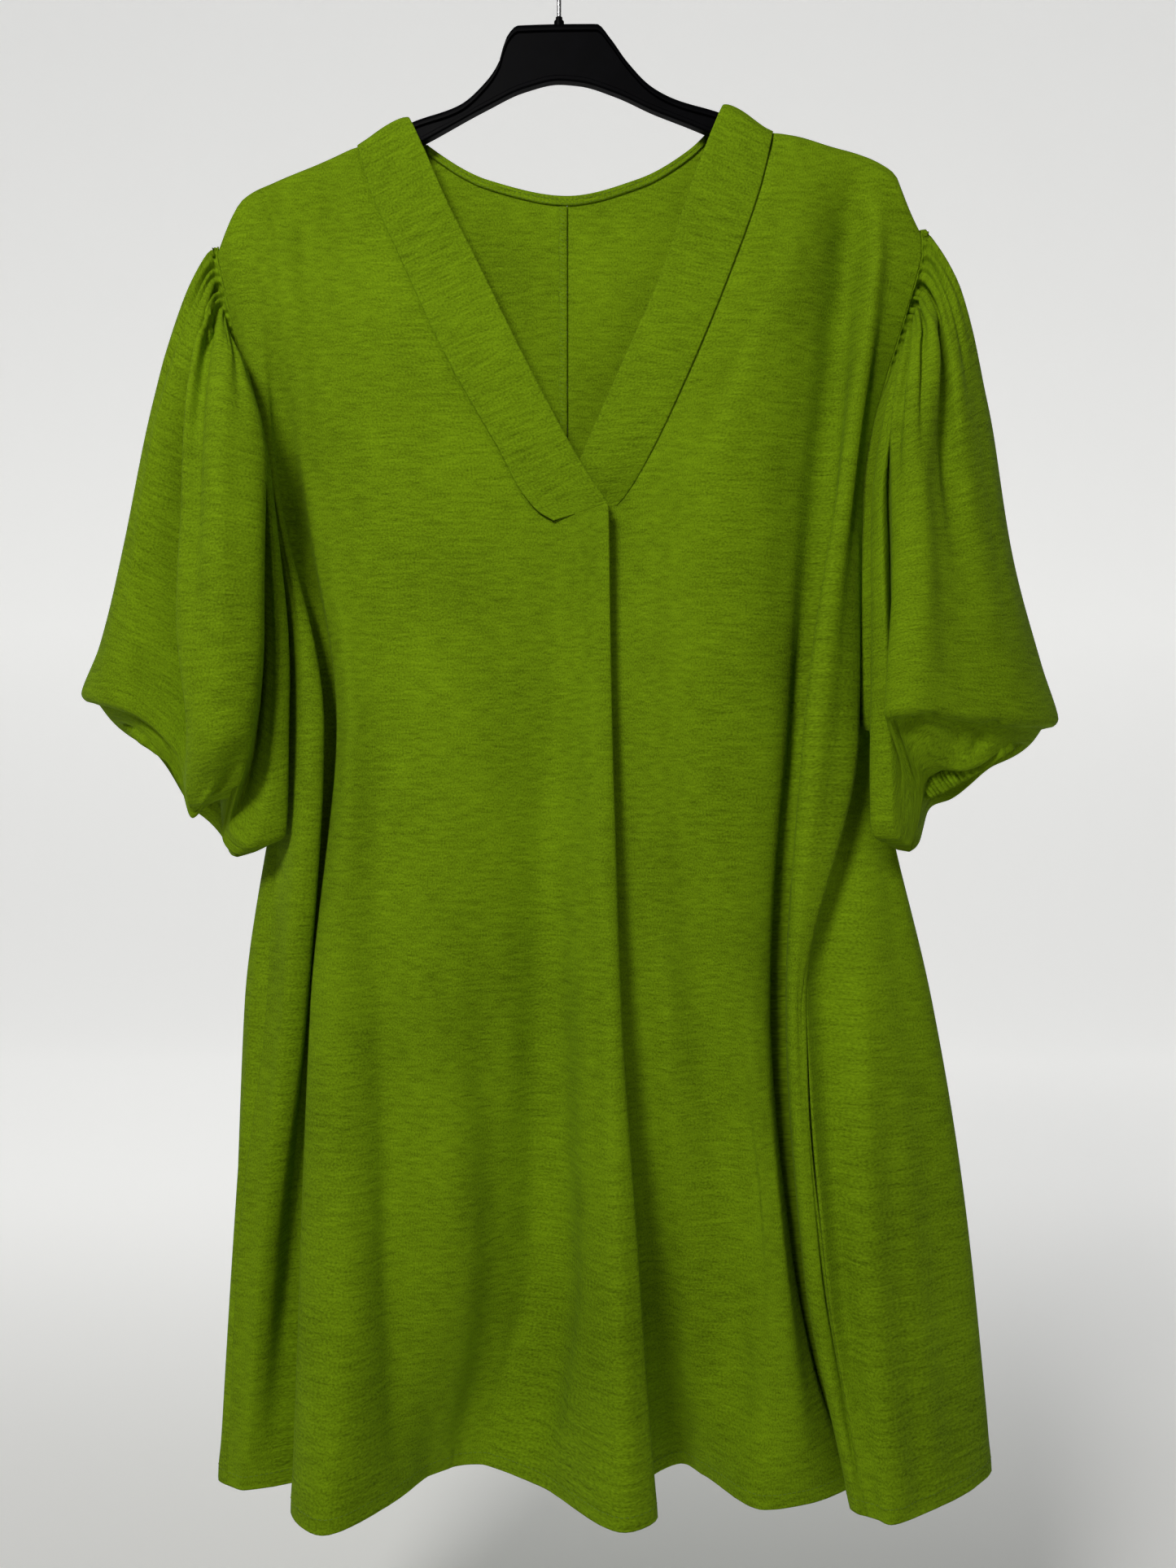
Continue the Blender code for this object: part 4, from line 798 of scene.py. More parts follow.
def binding_grid(ring):
    """The binding along the back of the neck, from its lower edge up."""
    across = np.linspace(
        BACK_NECK[0][0] * MM + BINDING_START, BACK_NECK[-1][0] * MM - BINDING_START, BINDING_COLUMNS)
    top = line_height(BACK_NECK, across)
    rows = [back_strip(ring, across, top - drop) for drop in np.linspace(BINDING_WIDTH, 0, BINDING_ROWS)]
    return np.array(rows) - (0.0, BINDING_CLEAR, 0.0)


def cap_height(turn, side):
    """The armhole height at which a column of the sleeve starts."""
    return CAP_FOOT_Z + (CAP_TOP_Z[side] - CAP_FOOT_Z) * (1 - np.abs(2 * turn / 360 - 1))


def armhole_point(ring, side, face, height, lead):
    """A point this far out of the armhole's edge, the way that the sleeve leaves it."""
    height = np.atleast_1d(height)
    edge = body_point(ring, side_place(ring, side, face, height), height, face)
    drop = np.clip((FOOT_Z + ARMHOLE_FOOT - height) / ARMHOLE_FOOT, 0, 1)
    way = unit(np.stack([np.full_like(drop, OUTWARD[side]), 0 * drop, -drop], axis=-1))
    return edge + way * lead


def cuff_ring(cuff, turn, along, side, inset=0.0, depth=CUFF_WAVE_DEPTH):
    """A ring of the cuff. Along is the way from its elastic line towards its free edge, and inset
    is how far the ring lies inside the sleeve's end."""
    tilt = math.radians(cuff.tilt)
    long_way = np.array([OUTWARD[side] * math.cos(tilt), 0.0, math.sin(tilt)])
    axis = np.array([OUTWARD[side] * math.sin(tilt), 0.0, -math.cos(tilt)])
    centre = np.array([cuff.across, -cuff.out, cuff.height]) * MM
    half_long = cuff.half_long * MM - inset
    half_deep = cuff.half_deep * MM - inset
    angle = np.radians(curve(CUFF_TURNS, CUFF_ANGLES, turn))
    normal = unit(np.stack([-half_deep * np.cos(angle), half_long * np.sin(angle)], axis=-1))
    wave = depth * np.cos(CUFF_WAVES * np.radians(turn))
    across = -half_long * np.cos(angle) + normal[:, 0] * wave
    out = half_deep * np.sin(angle) + normal[:, 1] * wave
    return centre + np.outer(across, long_way) + np.outer(out, (0.0, -1.0, 0.0)) + axis * along


def sleeve_lines(ring, side, folds, cuff):
    """Each fold line of the sleeve as points at its stations. A station is the way down: 0 at the
    armhole, 1 at the lowest point of the brim and 1.3 at the cuff."""
    lines = []
    for fold in folds:
        face = 1 if fold.turn <= 180 else -1
        top = cap_height(np.array([float(fold.turn)]), side)[0]
        drop = fold.drop * MM
        points = [armhole_point(ring, side, face, top, lead)[0] for lead in (SLEEVE_START, SLEEVE_TURN)]
        ways = (fold.head, fold.upper, fold.lower, fold.lip)
        for station, place in zip(SLEEVE_STATIONS, ways):
            if place is None:
                height = CAP_FOOT_Z + (drop - CAP_FOOT_Z) * station
                points.append(armhole_point(ring, side, face, height, SLEEVE_START)[0])
            else:
                points.append(np.array([place[0] * MM, -place[1] * MM, top + (drop - top) * station]))
        brim = np.array([fold.brim[0] * MM, -fold.brim[1] * MM, drop + BRIM])
        end = cuff_ring(cuff, [float(fold.turn)], 0.0, side, depth=0.0)[0]
        level = (end - brim) * (1.0, 1.0, 0.0)
        reach = np.linalg.norm(level)
        inward = unit(level)
        points.append(brim)
        points.append(brim + inward * min(BRIM, reach * BRIM_TURN_PART) - (0.0, 0.0, BRIM))
        points.append(brim + inward * min(BRIM_FAR, reach * BRIM_FAR_PART))
        points.append(end)
        lines.append(points)
    return np.array(lines)


def sleeve_grid(ring, side, folds, cuff):
    """Rows of points down the sleeve. Its first and last columns are the underarm line."""
    turns = np.linspace(0, 360, SLEEVE_COLUMNS + 1)
    stations = SLEEVE_HEAD_STATIONS + SLEEVE_STATIONS + SLEEVE_UNDER_STATIONS
    lines = sleeve_lines(ring, side, folds, cuff)
    knots = [float(fold.turn) for fold in folds]
    grid = []
    for row in SLEEVE_ROWS:
        at = np.full(len(folds), row)
        line = np.stack([
            curve(knots, curve(stations, lines[:, :, axis], at), turns) for axis in range(3)], 1)
        if row <= SLEEVE_HEAD_STATIONS[-1]:
            lead = SLEEVE_START + (SLEEVE_TURN - SLEEVE_START) * row / SLEEVE_HEAD_STATIONS[-1]
            for face, chosen in ((1, turns <= 180), (-1, turns > 180)):
                line[chosen] = armhole_point(
                    ring, side, face, cap_height(turns[chosen], side), lead)
        if row == SLEEVE_ROWS[-1]:
            line = cuff_ring(cuff, turns, 0.0, side)
        height = CAP_FOOT_Z + (folds[0].drop * MM - CAP_FOOT_Z) * row
        if height > FOOT_Z:
            for index, face in ((0, 1), (-1, -1)):
                line[index] = armhole_point(ring, side, face, height, SLEEVE_START)[0]
        grid.append(line)
    return np.array(grid), turns


def way_out(grid, sign):
    """The way out of the cloth at each point of a grid."""
    return unit(np.cross(np.gradient(grid, axis=1), np.gradient(grid, axis=0)) * sign)


def lifted(grid, sign, lift):
    """A grid moved out of its cloth by lift at each point."""
    return grid + way_out(grid, sign) * lift[:, :, None]


def stretch_round(grid, columns):
    """How much cloth there is at each point for each step of the columns' places."""
    return np.gradient(distances(grid, 1), axis=1) / np.gradient(columns)


def press(grid, columns, along, creases, sign):
    """Presses soft folds into a grid. Columns are its places round, and along its height or
    station at each point."""
    stretch = stretch_round(grid, columns)
    lift = np.zeros(grid.shape[:2])
    for crease in creases:
        part = (along - crease.start) / (crease.end - crease.start)
        centre = crease.start_at + (crease.end_at - crease.start_at) * np.clip(part, 0, 1)
        fade = smooth_step(part / crease.rise) * smooth_step((1 - part) / crease.fall)
        lift += crease.depth * MM * swell((columns - centre) * stretch, crease.width * MM) * fade
    return lifted(grid, sign, lift)


def body_creases(ring, creases):
    """The body's soft folds, with their shares turned into places round the ring."""

    def place(name, share):
        index = ring.names.index(name)
        other = index + 1 if share >= 0 else max(index - 1, 0)
        return ring.places[index] + share * abs(ring.places[other] - ring.places[index])

    return [crease._replace(
        start_at=place(crease.line, crease.start_at), end_at=place(crease.line, crease.end_at),
        start=crease.start * MM, end=crease.end * MM) for crease in creases]


def sink_seam(grid, lines):
    """Draws the front's cloth in beside the seams of the neck bands."""
    near = np.full(grid.shape[:2], np.inf)
    for line in lines:
        table = np.array(line, float) * MM
        for start, way in zip(table[:-1], np.diff(table, axis=0)):
            to_point = grid[:, :, [0, 2]] - start
            share = np.clip(to_point @ way / (way @ way), 0, 1)
            near = np.minimum(near, np.linalg.norm(to_point - share[:, :, None] * way, axis=2))
    sunk = grid.copy()
    sunk[:, :, 1] += SEAM_SINK * swell(near, SEAM_REACH)
    return sunk


def hem_pucker(grid):
    """Little puckers along the stitched hem."""
    waves = [(2 * math.pi / length, share, shift) for length, share, shift in PUCKER_WAVES]
    rise = grid[:, :, 2] - grid[0, :, 2]
    pucker = PUCKER_DEPTH * ripple(waves, distances(grid[0]))
    return lifted(grid, 1, pucker * swell(rise - HEM_STITCH, PUCKER_REACH))


def gather_head(grid, turns, gathers, sign):
    """Gathers that start at the armhole seam and open out down the sleeve."""
    stretch = stretch_round(grid, turns)
    station = SLEEVE_ROWS[:, None]
    crown = smooth_step(station / CROWN_STATION) * smooth_step((CROWN_END - station) / CROWN_END)
    lift = CROWN_DEPTH * crown * np.sqrt(np.sin(np.radians(turns) / 2))
    for gather in gathers:
        part = station / (GATHER_LENGTH * gather.end)
        width = gather.width * MM * (1 + WIDEN * np.clip(part, 0, 1))
        fade = smooth_step(station / (gather.end * GATHER_RISE)) * smooth_step((1 - part) / GATHER_FALL)
        lift -= GATHER_DEPTH * gather.depth * MM * swell((turns - gather.turn) * stretch, width) * fade
    return lifted(grid, sign, lift)


def hang_under(grid, turns, sign):
    """Lets the cloth that turns under a sleeve hang in lobes over the cuff."""
    part = np.clip((SLEEVE_ROWS - LOBE_START) / (SLEEVE_ROWS[-1] - LOBE_START), 0, 1)
    hanging = np.sin(math.pi * part)[:, None]
    wave = ripple(LOBE_WAVES, np.radians(turns))
    hung = lifted(grid, sign, LOBE_PUFF * hanging * wave)
    hung[:, :, 2] -= hanging * (LOBE_DROP + LOBE_SWING * wave)
    return hung


def placed(name, data):
    """A new object of the scene with this data."""
    one = bpy.data.objects.new(name, data)
    bpy.context.scene.collection.objects.link(one)
    return one


def shell(name, points, faces, finish, chart=None, wall=None):
    """A thin shell on its middle surface, with a chart in metres for its weave."""
    chart = points[:, [0, 2]] if chart is None else chart
    mesh = bpy.data.meshes.new(name)
    mesh.from_pydata(points.tolist(), [], faces)
    layer = mesh.uv_layers.new(name="cloth")
    loops = np.empty(len(mesh.loops), int)
    mesh.loops.foreach_get("vertex_index", loops)
    layer.data.foreach_set("uv", chart[loops].astype(np.float32).ravel())
    mesh.materials.append(finish)
    mesh.shade_smooth()
    piece = placed(name, mesh)
    if wall:
        solid = piece.modifiers.new("wall", "SOLIDIFY")
        solid.thickness = wall
        solid.offset = 0.0
    return piece


def grid_faces(rows, columns, closed=False):
    """Faces of a grid of points, joined end to end round its rows if closed."""
    faces = []
    for low in range(0, (rows - 1) * columns, columns):
        high = low + columns
        for column in range(columns if closed else columns - 1):
            after = (column + 1) % columns
            faces.append((low + column, low + after, high + after, high + column))
    return faces


def capped(rings):
    """Points and faces of rings of points, joined one to the next and closed at both ends."""
    count = rings.shape[1]
    points = rings.reshape(-1, 3)
    ends = [tuple(reversed(range(count))), tuple(range(len(points) - count, len(points)))]
    return points, grid_faces(len(rings), count, closed=True) + ends


def merged(forms):
    """The points and faces of several forms as one form."""
    points = []
    faces = []
    for some, joins in forms:
        faces.extend(tuple(one + len(points) for one in face) for face in joins)
        points.extend(some)
    return np.array(points), faces


def grid_chart(grid):
    """Distances across and along a grid, in metres, as it would lie flat."""
    middle = grid.shape[1] // 2
    across = distances(grid, 1)
    across = across - across[:, [middle]]
    along = distances(grid[:, middle])[:, None] + 0 * across
    return np.stack([across, along], axis=-1).reshape(-1, 2)


def hanging_chart(grid, places):
    """A panel's chart: distance round the body, and height, so that its crinkles lie level."""
    around = np.broadcast_to(places * CHART_ROUND, grid.shape[:2])
    return np.stack([around, grid[:, :, 2]], axis=-1).reshape(-1, 2)


def cloth(name, grid, finish, wall, closed=False, chart=None):
    """A piece of cloth from rows of points."""
    chart = grid_chart(grid) if chart is None else chart
    return shell(name, grid.reshape(-1, 3), grid_faces(*grid.shape[:2], closed), finish, chart, wall)


def stitches(path, out, length=STITCH_LENGTH, gap=STITCH_GAP):
    """The stitches along a path, each a closed form. Out is the way off the cloth."""
    run = distances(path)
    angle = np.linspace(0, 2 * math.pi, STITCH_SIDES, endpoint=False)[:, None]
    lifts = THREAD_RADIUS * np.array(STITCH_LIFTS)[:, None]
    radii = THREAD_RADIUS * np.array(STITCH_THICKNESS)[:, None, None]
    made = []
    for start in np.arange(gap, run[-1] - length - gap, length + gap):
        at = start + length * np.array(STITCH_SHARES)
        centre, away = (
            np.stack([np.interp(at, run, table[:, axis]) for axis in range(3)], 1)
            for table in (path, out))
        away = unit(away)
        side = np.cross(away, unit(centre[-1] - centre[0]))
        rings = np.cos(angle) * side[:, None] + np.sin(angle) * away[:, None]
        made.append(capped((centre + away * lifts)[:, None] + radii * rings))
    return made


def row_at(grid, out, height):
    """The line across a grid at this height above its first row, and the way off the cloth."""
    rise = grid[:, 0, 2] - grid[0, 0, 2]
    index = int(np.searchsorted(rise, height)) - 1
    part = (height - rise[index]) / (rise[index + 1] - rise[index])
    return [table[index] * (1 - part) + table[index + 1] * part for table in (grid, out)]


def body_panel(name, grid, places, creases, made):
    """A panel of the body with its soft folds, its hem turned up inside and the hem's stitching."""
    wall = made.settings.wall
    grid = hem_pucker(press(grid, places, grid[:, :, 2], body_creases(made.ring, creases), 1))
    if name == "blouse_front":
        grid = sink_seam(grid, (LEFT_NECK_SEAM, RIGHT_NECK_SEAM))
    chart = hanging_chart(grid, places)
    panel = cloth(name, grid, made.cloth, wall, chart=chart)
    out = way_out(grid, 1)
    turned = int(np.searchsorted(grid[:, 0, 2] - grid[0, 0, 2], HEM_WIDTH)) + 1
    inner = grid[:turned] - out[:turned] * HEM_INSET
    hem = cloth(name + "_hem", inner, made.cloth, wall, chart=chart[:turned * len(places)])
    path, away = row_at(grid, out, HEM_STITCH)
    return panel, hem, (path + away * wall / 2, away)


def take(piece, node):
    """Hangs a piece under the root and hides the CAD part that it stands for, if there is one."""
    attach(piece, "root")
    if node:
        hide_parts(node)


def thread_piece(name, rows, finish):
    """One piece for several rows of stitches."""
    piece = shell(name, *merged(form for row in rows for form in stitches(*row)), finish)
    take(piece, None)
    return piece


def node(made, kind, **inputs):
    """A shader node with some of its sockets set."""
    one = made.node_tree.nodes.new(kind)
    for name, value in inputs.items():
        one.inputs[name.replace("_", " ")].default_value = value
    return one


def join(made, *links):
    """Links sockets. Each link is (from, output, to, socket)."""
    for source, output, target, socket in links:
        made.node_tree.links.new(source.outputs[output], target.inputs[socket])


def surface(name, **inputs):
    """A new material and its shader, with some of the shader's sockets set."""
    made = bpy.data.materials.new(name)
    made.use_nodes = True
    shader = made.node_tree.nodes["Principled BSDF"]
    for socket, value in inputs.items():
        shader.inputs[socket.replace("_", " ")].default_value = value
    return made, shader


def noise(made, chart, output, **inputs):
    """Soft noise on one output of a chart."""
    texture = node(made, "ShaderNodeTexNoise", **inputs)
    join(made, (chart, output, texture, "Vector"))
    return texture


def tinted(made, source, shader, colour, shares, ends=(0.0, 1.0)):
    """Colours a shader between two shares of a colour, as the source goes from end to end."""
    tint = node(made, "ShaderNodeValToRGB")
    for stop, share, end in zip(tint.color_ramp.elements, shares, ends):
        stop.position = end
        stop.color = (*[min(1.0, one * share) for one in colour], 1.0)
    join(made, (source, 0, tint, "Fac"), (tint, "Color", shader, "Base Color"))


def glossed(made, source, shader, low, high):
    """Roughens a shader from low to high as the source goes from 0 to 1."""
    gloss = node(made, "ShaderNodeMapRange", To_Min=low, To_Max=high)
    join(made, (source, "Fac", gloss, "Value"), (gloss, "Result", shader, "Roughness"))


def crepe(name, colour, settings):
    """Matte crepe: short crinkles across the cloth, a fine grain and a soft change of colour: the
    cloth's own uneven tone, with painted shade in the hollows and painted light on the tops of
    its crinkles and grain.
    """
    made, shader = surface(
        name, Roughness=0.85, Specular_IOR_Level=0.05, Sheen_Weight=0.05, Sheen_Roughness=0.5,
        Sheen_Tint=(0.5, 0.75, 0.12, 1.0))
    chart = node(made, "ShaderNodeUVMap")
    chart.uv_map = "cloth"
    crinkle_way = node(made, "ShaderNodeMapping", Scale=(CRINKLE_ACROSS, CRINKLE_ALONG, 1.0))
    join(made, (chart, "UV", crinkle_way, "Vector"))
    crinkle = noise(
        made, crinkle_way, "Vector", Scale=1.0, Detail=3.0, Roughness=0.55, Distortion=0.3)
    grain = noise(made, chart, "UV", Scale=GRAIN, Detail=2.0, Roughness=0.6)
    cloud = noise(made, chart, "UV", Scale=CLOUD, Detail=3.0, Roughness=0.5)
    tone_and_painted_shade = None
    # Painted shade and light: crinkles and grain darken the colour in their hollows and lighten it on
    # their tops, as their bumps do; the cloud adds the cloth's own random tone.
    for texture, share in ((cloud, CLOUD_SHARE), (grain, GRAIN_PAINTED_SHADE_SHARE), (crinkle, CRINKLE_PAINTED_SHADE_SHARE)):
        added = node(made, "ShaderNodeMath")
        added.operation = "MULTIPLY_ADD"
        added.inputs[1].default_value = share
        added.inputs[2].default_value = 0.0
        join(made, (texture, "Fac", added, 0))
        if tone_and_painted_shade:
            join(made, (tone_and_painted_shade, "Value", added, 2))
        tone_and_painted_shade = added
    tinted(made, tone_and_painted_shade, shader, colour, CREPE_TONE_AND_SHADE_RANGE, CREPE_ENDS)
    fine = node(made, "ShaderNodeBump", Strength=0.7, Distance=0.0006)
    rough = node(made, "ShaderNodeBump", Strength=0.8, Distance=settings.crinkle)
    join(made, (grain, "Fac", fine, "Height"), (crinkle, "Fac", rough, "Height"),
         (fine, "Normal", rough, "Normal"), (rough, "Normal", shader, "Normal"))
    return made


def thread(name, colour):
    """Matte sewing thread with a slight twist."""
    made, shader = surface(name, Roughness=0.6, Specular_IOR_Level=0.3)
    chart = node(made, "ShaderNodeTexCoord")
    twist = noise(made, chart, "Object", Scale=1600.0, Detail=1.0)
    tinted(made, twist, shader, colour, (0.85, 1.2))
    return made


def moulded_plastic(name, colour, roughness):
    """Black moulded plastic: satin, with a faint orange-peel and a little dust."""
    made, shader = surface(name, Specular_IOR_Level=0.03)
    chart = node(made, "ShaderNodeTexCoord")
    peel = noise(made, chart, "Object", Scale=520.0, Detail=2.0)
    dust = noise(made, chart, "Object", Scale=60.0, Detail=4.0, Roughness=0.7)
    tinted(made, dust, shader, colour, (1.0, 2.2), (0.45, 0.9))
    glossed(made, dust, shader, roughness - 0.05, roughness + 0.12)
    bump = node(made, "ShaderNodeBump", Strength=0.2, Distance=0.0001)
    join(made, (peel, "Fac", bump, "Height"), (bump, "Normal", shader, "Normal"))
    return made


def drawn_wire(name, colour):
    """Bright steel wire with fine drawing marks."""
    made, shader = surface(name, Metallic=1.0)
    chart = node(made, "ShaderNodeTexCoord")
    marks = noise(made, chart, "Object", Scale=900.0, Detail=2.0)
    glossed(made, marks, shader, 0.18, 0.34)
    tinted(made, marks, shader, colour, (0.9, 1.1))
    return made


def faded(made, chart, output, axis, target, span, ends):
    """Takes a strength from one end to the other along a chart's axis."""
    way = node(made, "ShaderNodeSeparateXYZ")
    fade = node(made, "ShaderNodeMapRange", From_Min=span[0], From_Max=span[1],
                To_Min=ends[0], To_Max=ends[1])
    fade.interpolation_type = "SMOOTHSTEP"
    join(made, (chart, output, way, "Vector"), (way, axis, fade, "Value"), (fade, "Result", *target))


def pale_floor(name, colour, glow):
    """Matte pale paper that sweeps up behind the blouse, with a faint mottle. It glows as
    painted light, from nothing in front to its full glow towards the back.
    """
    made, shader = surface(
        name, Roughness=0.9, Specular_IOR_Level=0.1, Emission_Color=(*colour, 1.0))
    chart = node(made, "ShaderNodeTexCoord")
    # Painted light: the paper itself glows, though it is no lamp, more strongly towards the back.
    faded(made, chart, "Object", "Y", (shader, "Emission Strength"), GLOW_SPAN, (0.0, glow))
    mottle = noise(made, chart, "Object", Scale=3.0, Detail=4.0)
    tinted(made, mottle, shader, colour, (0.97, 1.0))
    return made


def kept(name, maker, *values):
    """A material that is made once and then used again."""
    return bpy.data.materials.get(name) or maker(name, *values)


Kit = namedtuple("Kit", "settings cloth band threads ring")


def kit(context):
    """What the sewn pieces share: the settings, the finishes and the ring of cloth."""
    settings = context.scene.blouse_cloth
    return Kit(
        settings,
        kept("crepe_cloth", crepe, tuple(settings.colour), settings),
        kept("crepe_band_cloth", crepe, tuple(settings.band_colour), settings),
        kept("sewing_thread", thread, tuple(settings.thread_colour)),
        Ring(),
    )


def hanger_section(top, bottom):
    """Half widths and heights round a hanger arm: a rounded top, a web and a lip along the foot."""
    head = min(HANGER_HALF, (top - bottom) * HANGER_HEAD_PART)
    lip = min(HANGER_LIP, (top - bottom) * HANGER_LIP_PART)
    right = [(0.0, top)]
    for angle in np.radians(np.linspace(0, 90, HEAD_STEPS + 1)[1:]):
        right.append((HANGER_HALF * math.sin(angle) ** HEAD_ROUND, top - head * (1 - math.cos(angle))))
    right += [
        (HANGER_HALF, top - head * HEAD_SIDE_PART),
        (HANGER_WEB_HALF, top - head * HEAD_FILLET_PART),
        (HANGER_WEB_HALF, bottom + lip * LIP_FILLET_PART),
        (HANGER_LIP_HALF, bottom + lip),
        (HANGER_LIP_HALF, bottom + lip * LIP_ROUND_PART),
        (HANGER_LIP_HALF * LIP_FLAT_PART, bottom),
    ]
    return right + [(-half, height) for half, height in reversed(right[1:])]


def hanger_form(name, finish):
    """The hanger's arms and middle, with rounded ends and the collar that holds the hook."""
    across = np.linspace(HANGER_TOP[0][0] * MM, HANGER_TOP[-1][0] * MM, HANGER_SECTIONS)
    lines = (line_height(HANGER_TOP, across), line_height(HANGER_BOTTOM, across))
    points, faces = capped(np.array([
        [(one, half, height) for half, height in hanger_section(top, bottom)]
        for one, top, bottom in zip(across, *lines)]))
    forms = [(points, [face[::-1] for face in faces])]
    angle = np.linspace(0, 2 * math.pi, COLLAR_SIDES, endpoint=False)
    for low, high, radius in COLLAR_STEPS:
        ring = [radius * np.cos(angle), radius * np.sin(angle)]
        forms.append(capped(np.stack([
            np.stack([*ring, np.full(COLLAR_SIDES, height)], 1) for height in (low, high)])))
    piece = shell(name, *merged(forms), finish)
    piece.data.set_sharp_from_angle(angle=math.radians(HANGER_EDGE_DEG))
    return piece


def hook_form(name, finish):
    """A wire hook: a straight stem, then most of a turn round the rod, with a rounded end."""
    middle = -HOOK_RADIUS + HOOK_WIRE / 2
    route = [(0, 0, HOOK_FOOT_Z), (0, 0, middle - HOOK_RADIUS * HOOK_NECK_PART)]
    for turn in np.linspace(0, HOOK_TURN_DEG, HOOK_STEPS):
        angle = math.radians(HOOK_START_DEG + turn)
        route.append((HOOK_RADIUS * math.cos(angle), 0, middle + HOOK_RADIUS * math.sin(angle)))
    data = bpy.data.curves.new(name, "CURVE")
    data.dimensions = "3D"
    data.bevel_depth = HOOK_WIRE / 2
    data.bevel_resolution = 6
    data.use_fill_caps = True
    line = data.splines.new("POLY")
    line.points.add(len(route) - 1)
    for point, place in zip(line.points, route):
        point.co = (*place, 1.0)
    line.use_smooth = True
    data.materials.append(finish)
    return placed(name, data)


def plain_light(name, place, size, power, colour):
    """A round light that looks at the middle of the blouse."""
    data = bpy.data.lights.new(name, "AREA")
    data.shape = "DISK"
    data.size = size
    data.energy = power
    data.color = colour
    lamp = placed(name, data)
    lamp.location = place
    lamp.rotation_euler = (Vector(MIDDLE) - Vector(place)).to_track_quat("-Z", "Y").to_euler()


def number_setting(name, description, default, least, most, **kind):
    """A number of the sidebar, between its least and most."""
    return bpy.props.FloatProperty(
        name=name, description=description, default=default, min=least, max=most, **kind)


def colour_setting(name, description, *default):
    """A colour of the sidebar."""
    return bpy.props.FloatVectorProperty(
        name=name, description=description, default=default, size=3, subtype="COLOR",
        min=0.0, max=1.0)


LENGTH = {"subtype": "DISTANCE", "unit": "LENGTH"}
POWER = {"subtype": "POWER", "unit": "POWER"}
FACTOR = {"subtype": "FACTOR"}


class BlouseClothSettings(bpy.types.PropertyGroup):
    """Sizes and colours of the cloth."""

    wall: number_setting(
        "Cloth thickness", "Thickness of one layer of crepe", 0.0007, 0.0002, 0.003, **LENGTH)
    step: number_setting(
        "Mesh step", "Greatest distance between the points of a panel", 0.0052, 0.002, 0.02, **LENGTH)
    crinkle: number_setting(
        "Crinkle height", "Height of the crepe's crinkles", 0.0009, 0.0, 0.003, **LENGTH)
    colour: colour_setting("Crepe", "Colour of the crepe", 0.138, 0.232, 0.0035)
    band_colour: colour_setting(
        "Band crepe", "Colour of the neck bands and cuffs", 0.136, 0.230, 0.0035)
    thread_colour: colour_setting("Thread", "Colour of the sewing thread", 0.115, 0.200, 0.005)


class BlouseHangerSettings(bpy.types.PropertyGroup):
    """Colours and gloss of the hanger."""

    plastic: colour_setting("Plastic", "Colour of the hanger's plastic", 0.0010, 0.0010, 0.0014)
    roughness: number_setting(
        "Plastic roughness", "Roughness of the hanger's plastic", 0.42, 0.05, 1.0, **FACTOR)
    steel: colour_setting("Steel", "Colour of the hook's wire", 0.62, 0.62, 0.63)


class BlouseStageSettings(bpy.types.PropertyGroup):
    """The floor, the lights and the camera."""

    drop: number_setting(
        "Floor drop", "How far the floor lies below the hem", 0.25, 0.0, 2.0, **LENGTH)
    backdrop: colour_setting(
        "Floor and background", "Colour of the floor and the background", 0.86, 0.86, 0.85)
    glow: number_setting(
        "Sweep light", "Strength of the light on the sweep behind the blouse", 0.56, 0.0, 5.0,
        **FACTOR)
    key: number_setting(
        "Key light", "Power of the light from the front, left and above", 25.0, 0.0, 500.0, **POWER)
    fill: number_setting(
        "Fill light", "Power of the light from the right", 2.5, 0.0, 500.0, **POWER)
    daylight: number_setting(
        "Light all round", "Strength of the light all round, low down", 0.26, 0.0, 5.0, **FACTOR)


class BLOUSE_OT_body(bpy.types.Operator):
    """Makes the front and the two back panels, with their hems."""

    bl_idname = "blouse.body"
    bl_label = "Body panels"

    def execute(self, context):
        made = kit(context)
        step = made.settings.step
        rows = []
        for name, lines, ends, face, creases in PANELS:
            places = spread(made.ring, *lines, step)
            necks = panel_necks(made.ring, name)
            grid = pull_back(
                panel_grid(made.ring, places, ends, face, necks, step), name == "front")
            panel, hem, row = body_panel("blouse_" + name, grid, places, creases, made)
            take(hem, None)
            rows.append(row)
            take(panel, name)
        thread_piece("hem_stitching", rows, made.threads)
        return {"FINISHED"}


class BLOUSE_OT_neck(bpy.types.Operator):
    """Makes the two neck bands and the binding along the back of the neck."""

    bl_idname = "blouse.neck"
    bl_label = "Neck bands and binding"

    def execute(self, context):
        made = kit(context)
        wall = made.settings.wall
        for name, seam, edge, folds, lap, sign in BANDS:
            grid = band_grid(made.ring, seam, edge, folds, lap)
            puff = BAND_PUFF * np.sin(math.pi * np.linspace(0, 1, grid.shape[1])) ** BAND_ROUND
            grid = lifted(grid, sign, np.broadcast_to(puff, grid.shape[:2]))
            piece = cloth(name + "_folded", grid, made.band, wall * BAND_LAYERS)
            take(piece, name)
        grid = binding_grid(made.ring)
        piece = cloth("back_neck_bound_edge", grid, made.cloth, wall * BINDING_LAYERS)
        out = way_out(grid, 1)
        out *= -np.sign(out[:, :, 1:2])
        rows = []
        for share in BINDING_STITCH_SHARES:
            part, low = math.modf(share * (len(grid) - 1))
            away = out[int(low)]
            path = grid[int(low)] * (1 - part) + grid[int(low) + 1] * part
            rows.append((path + away * wall * BINDING_LAYERS / 2, away))
        sewn = thread_piece("binding_stitching", rows, made.threads)
        take(piece, "back_neck_binding")
        return {"FINISHED"}


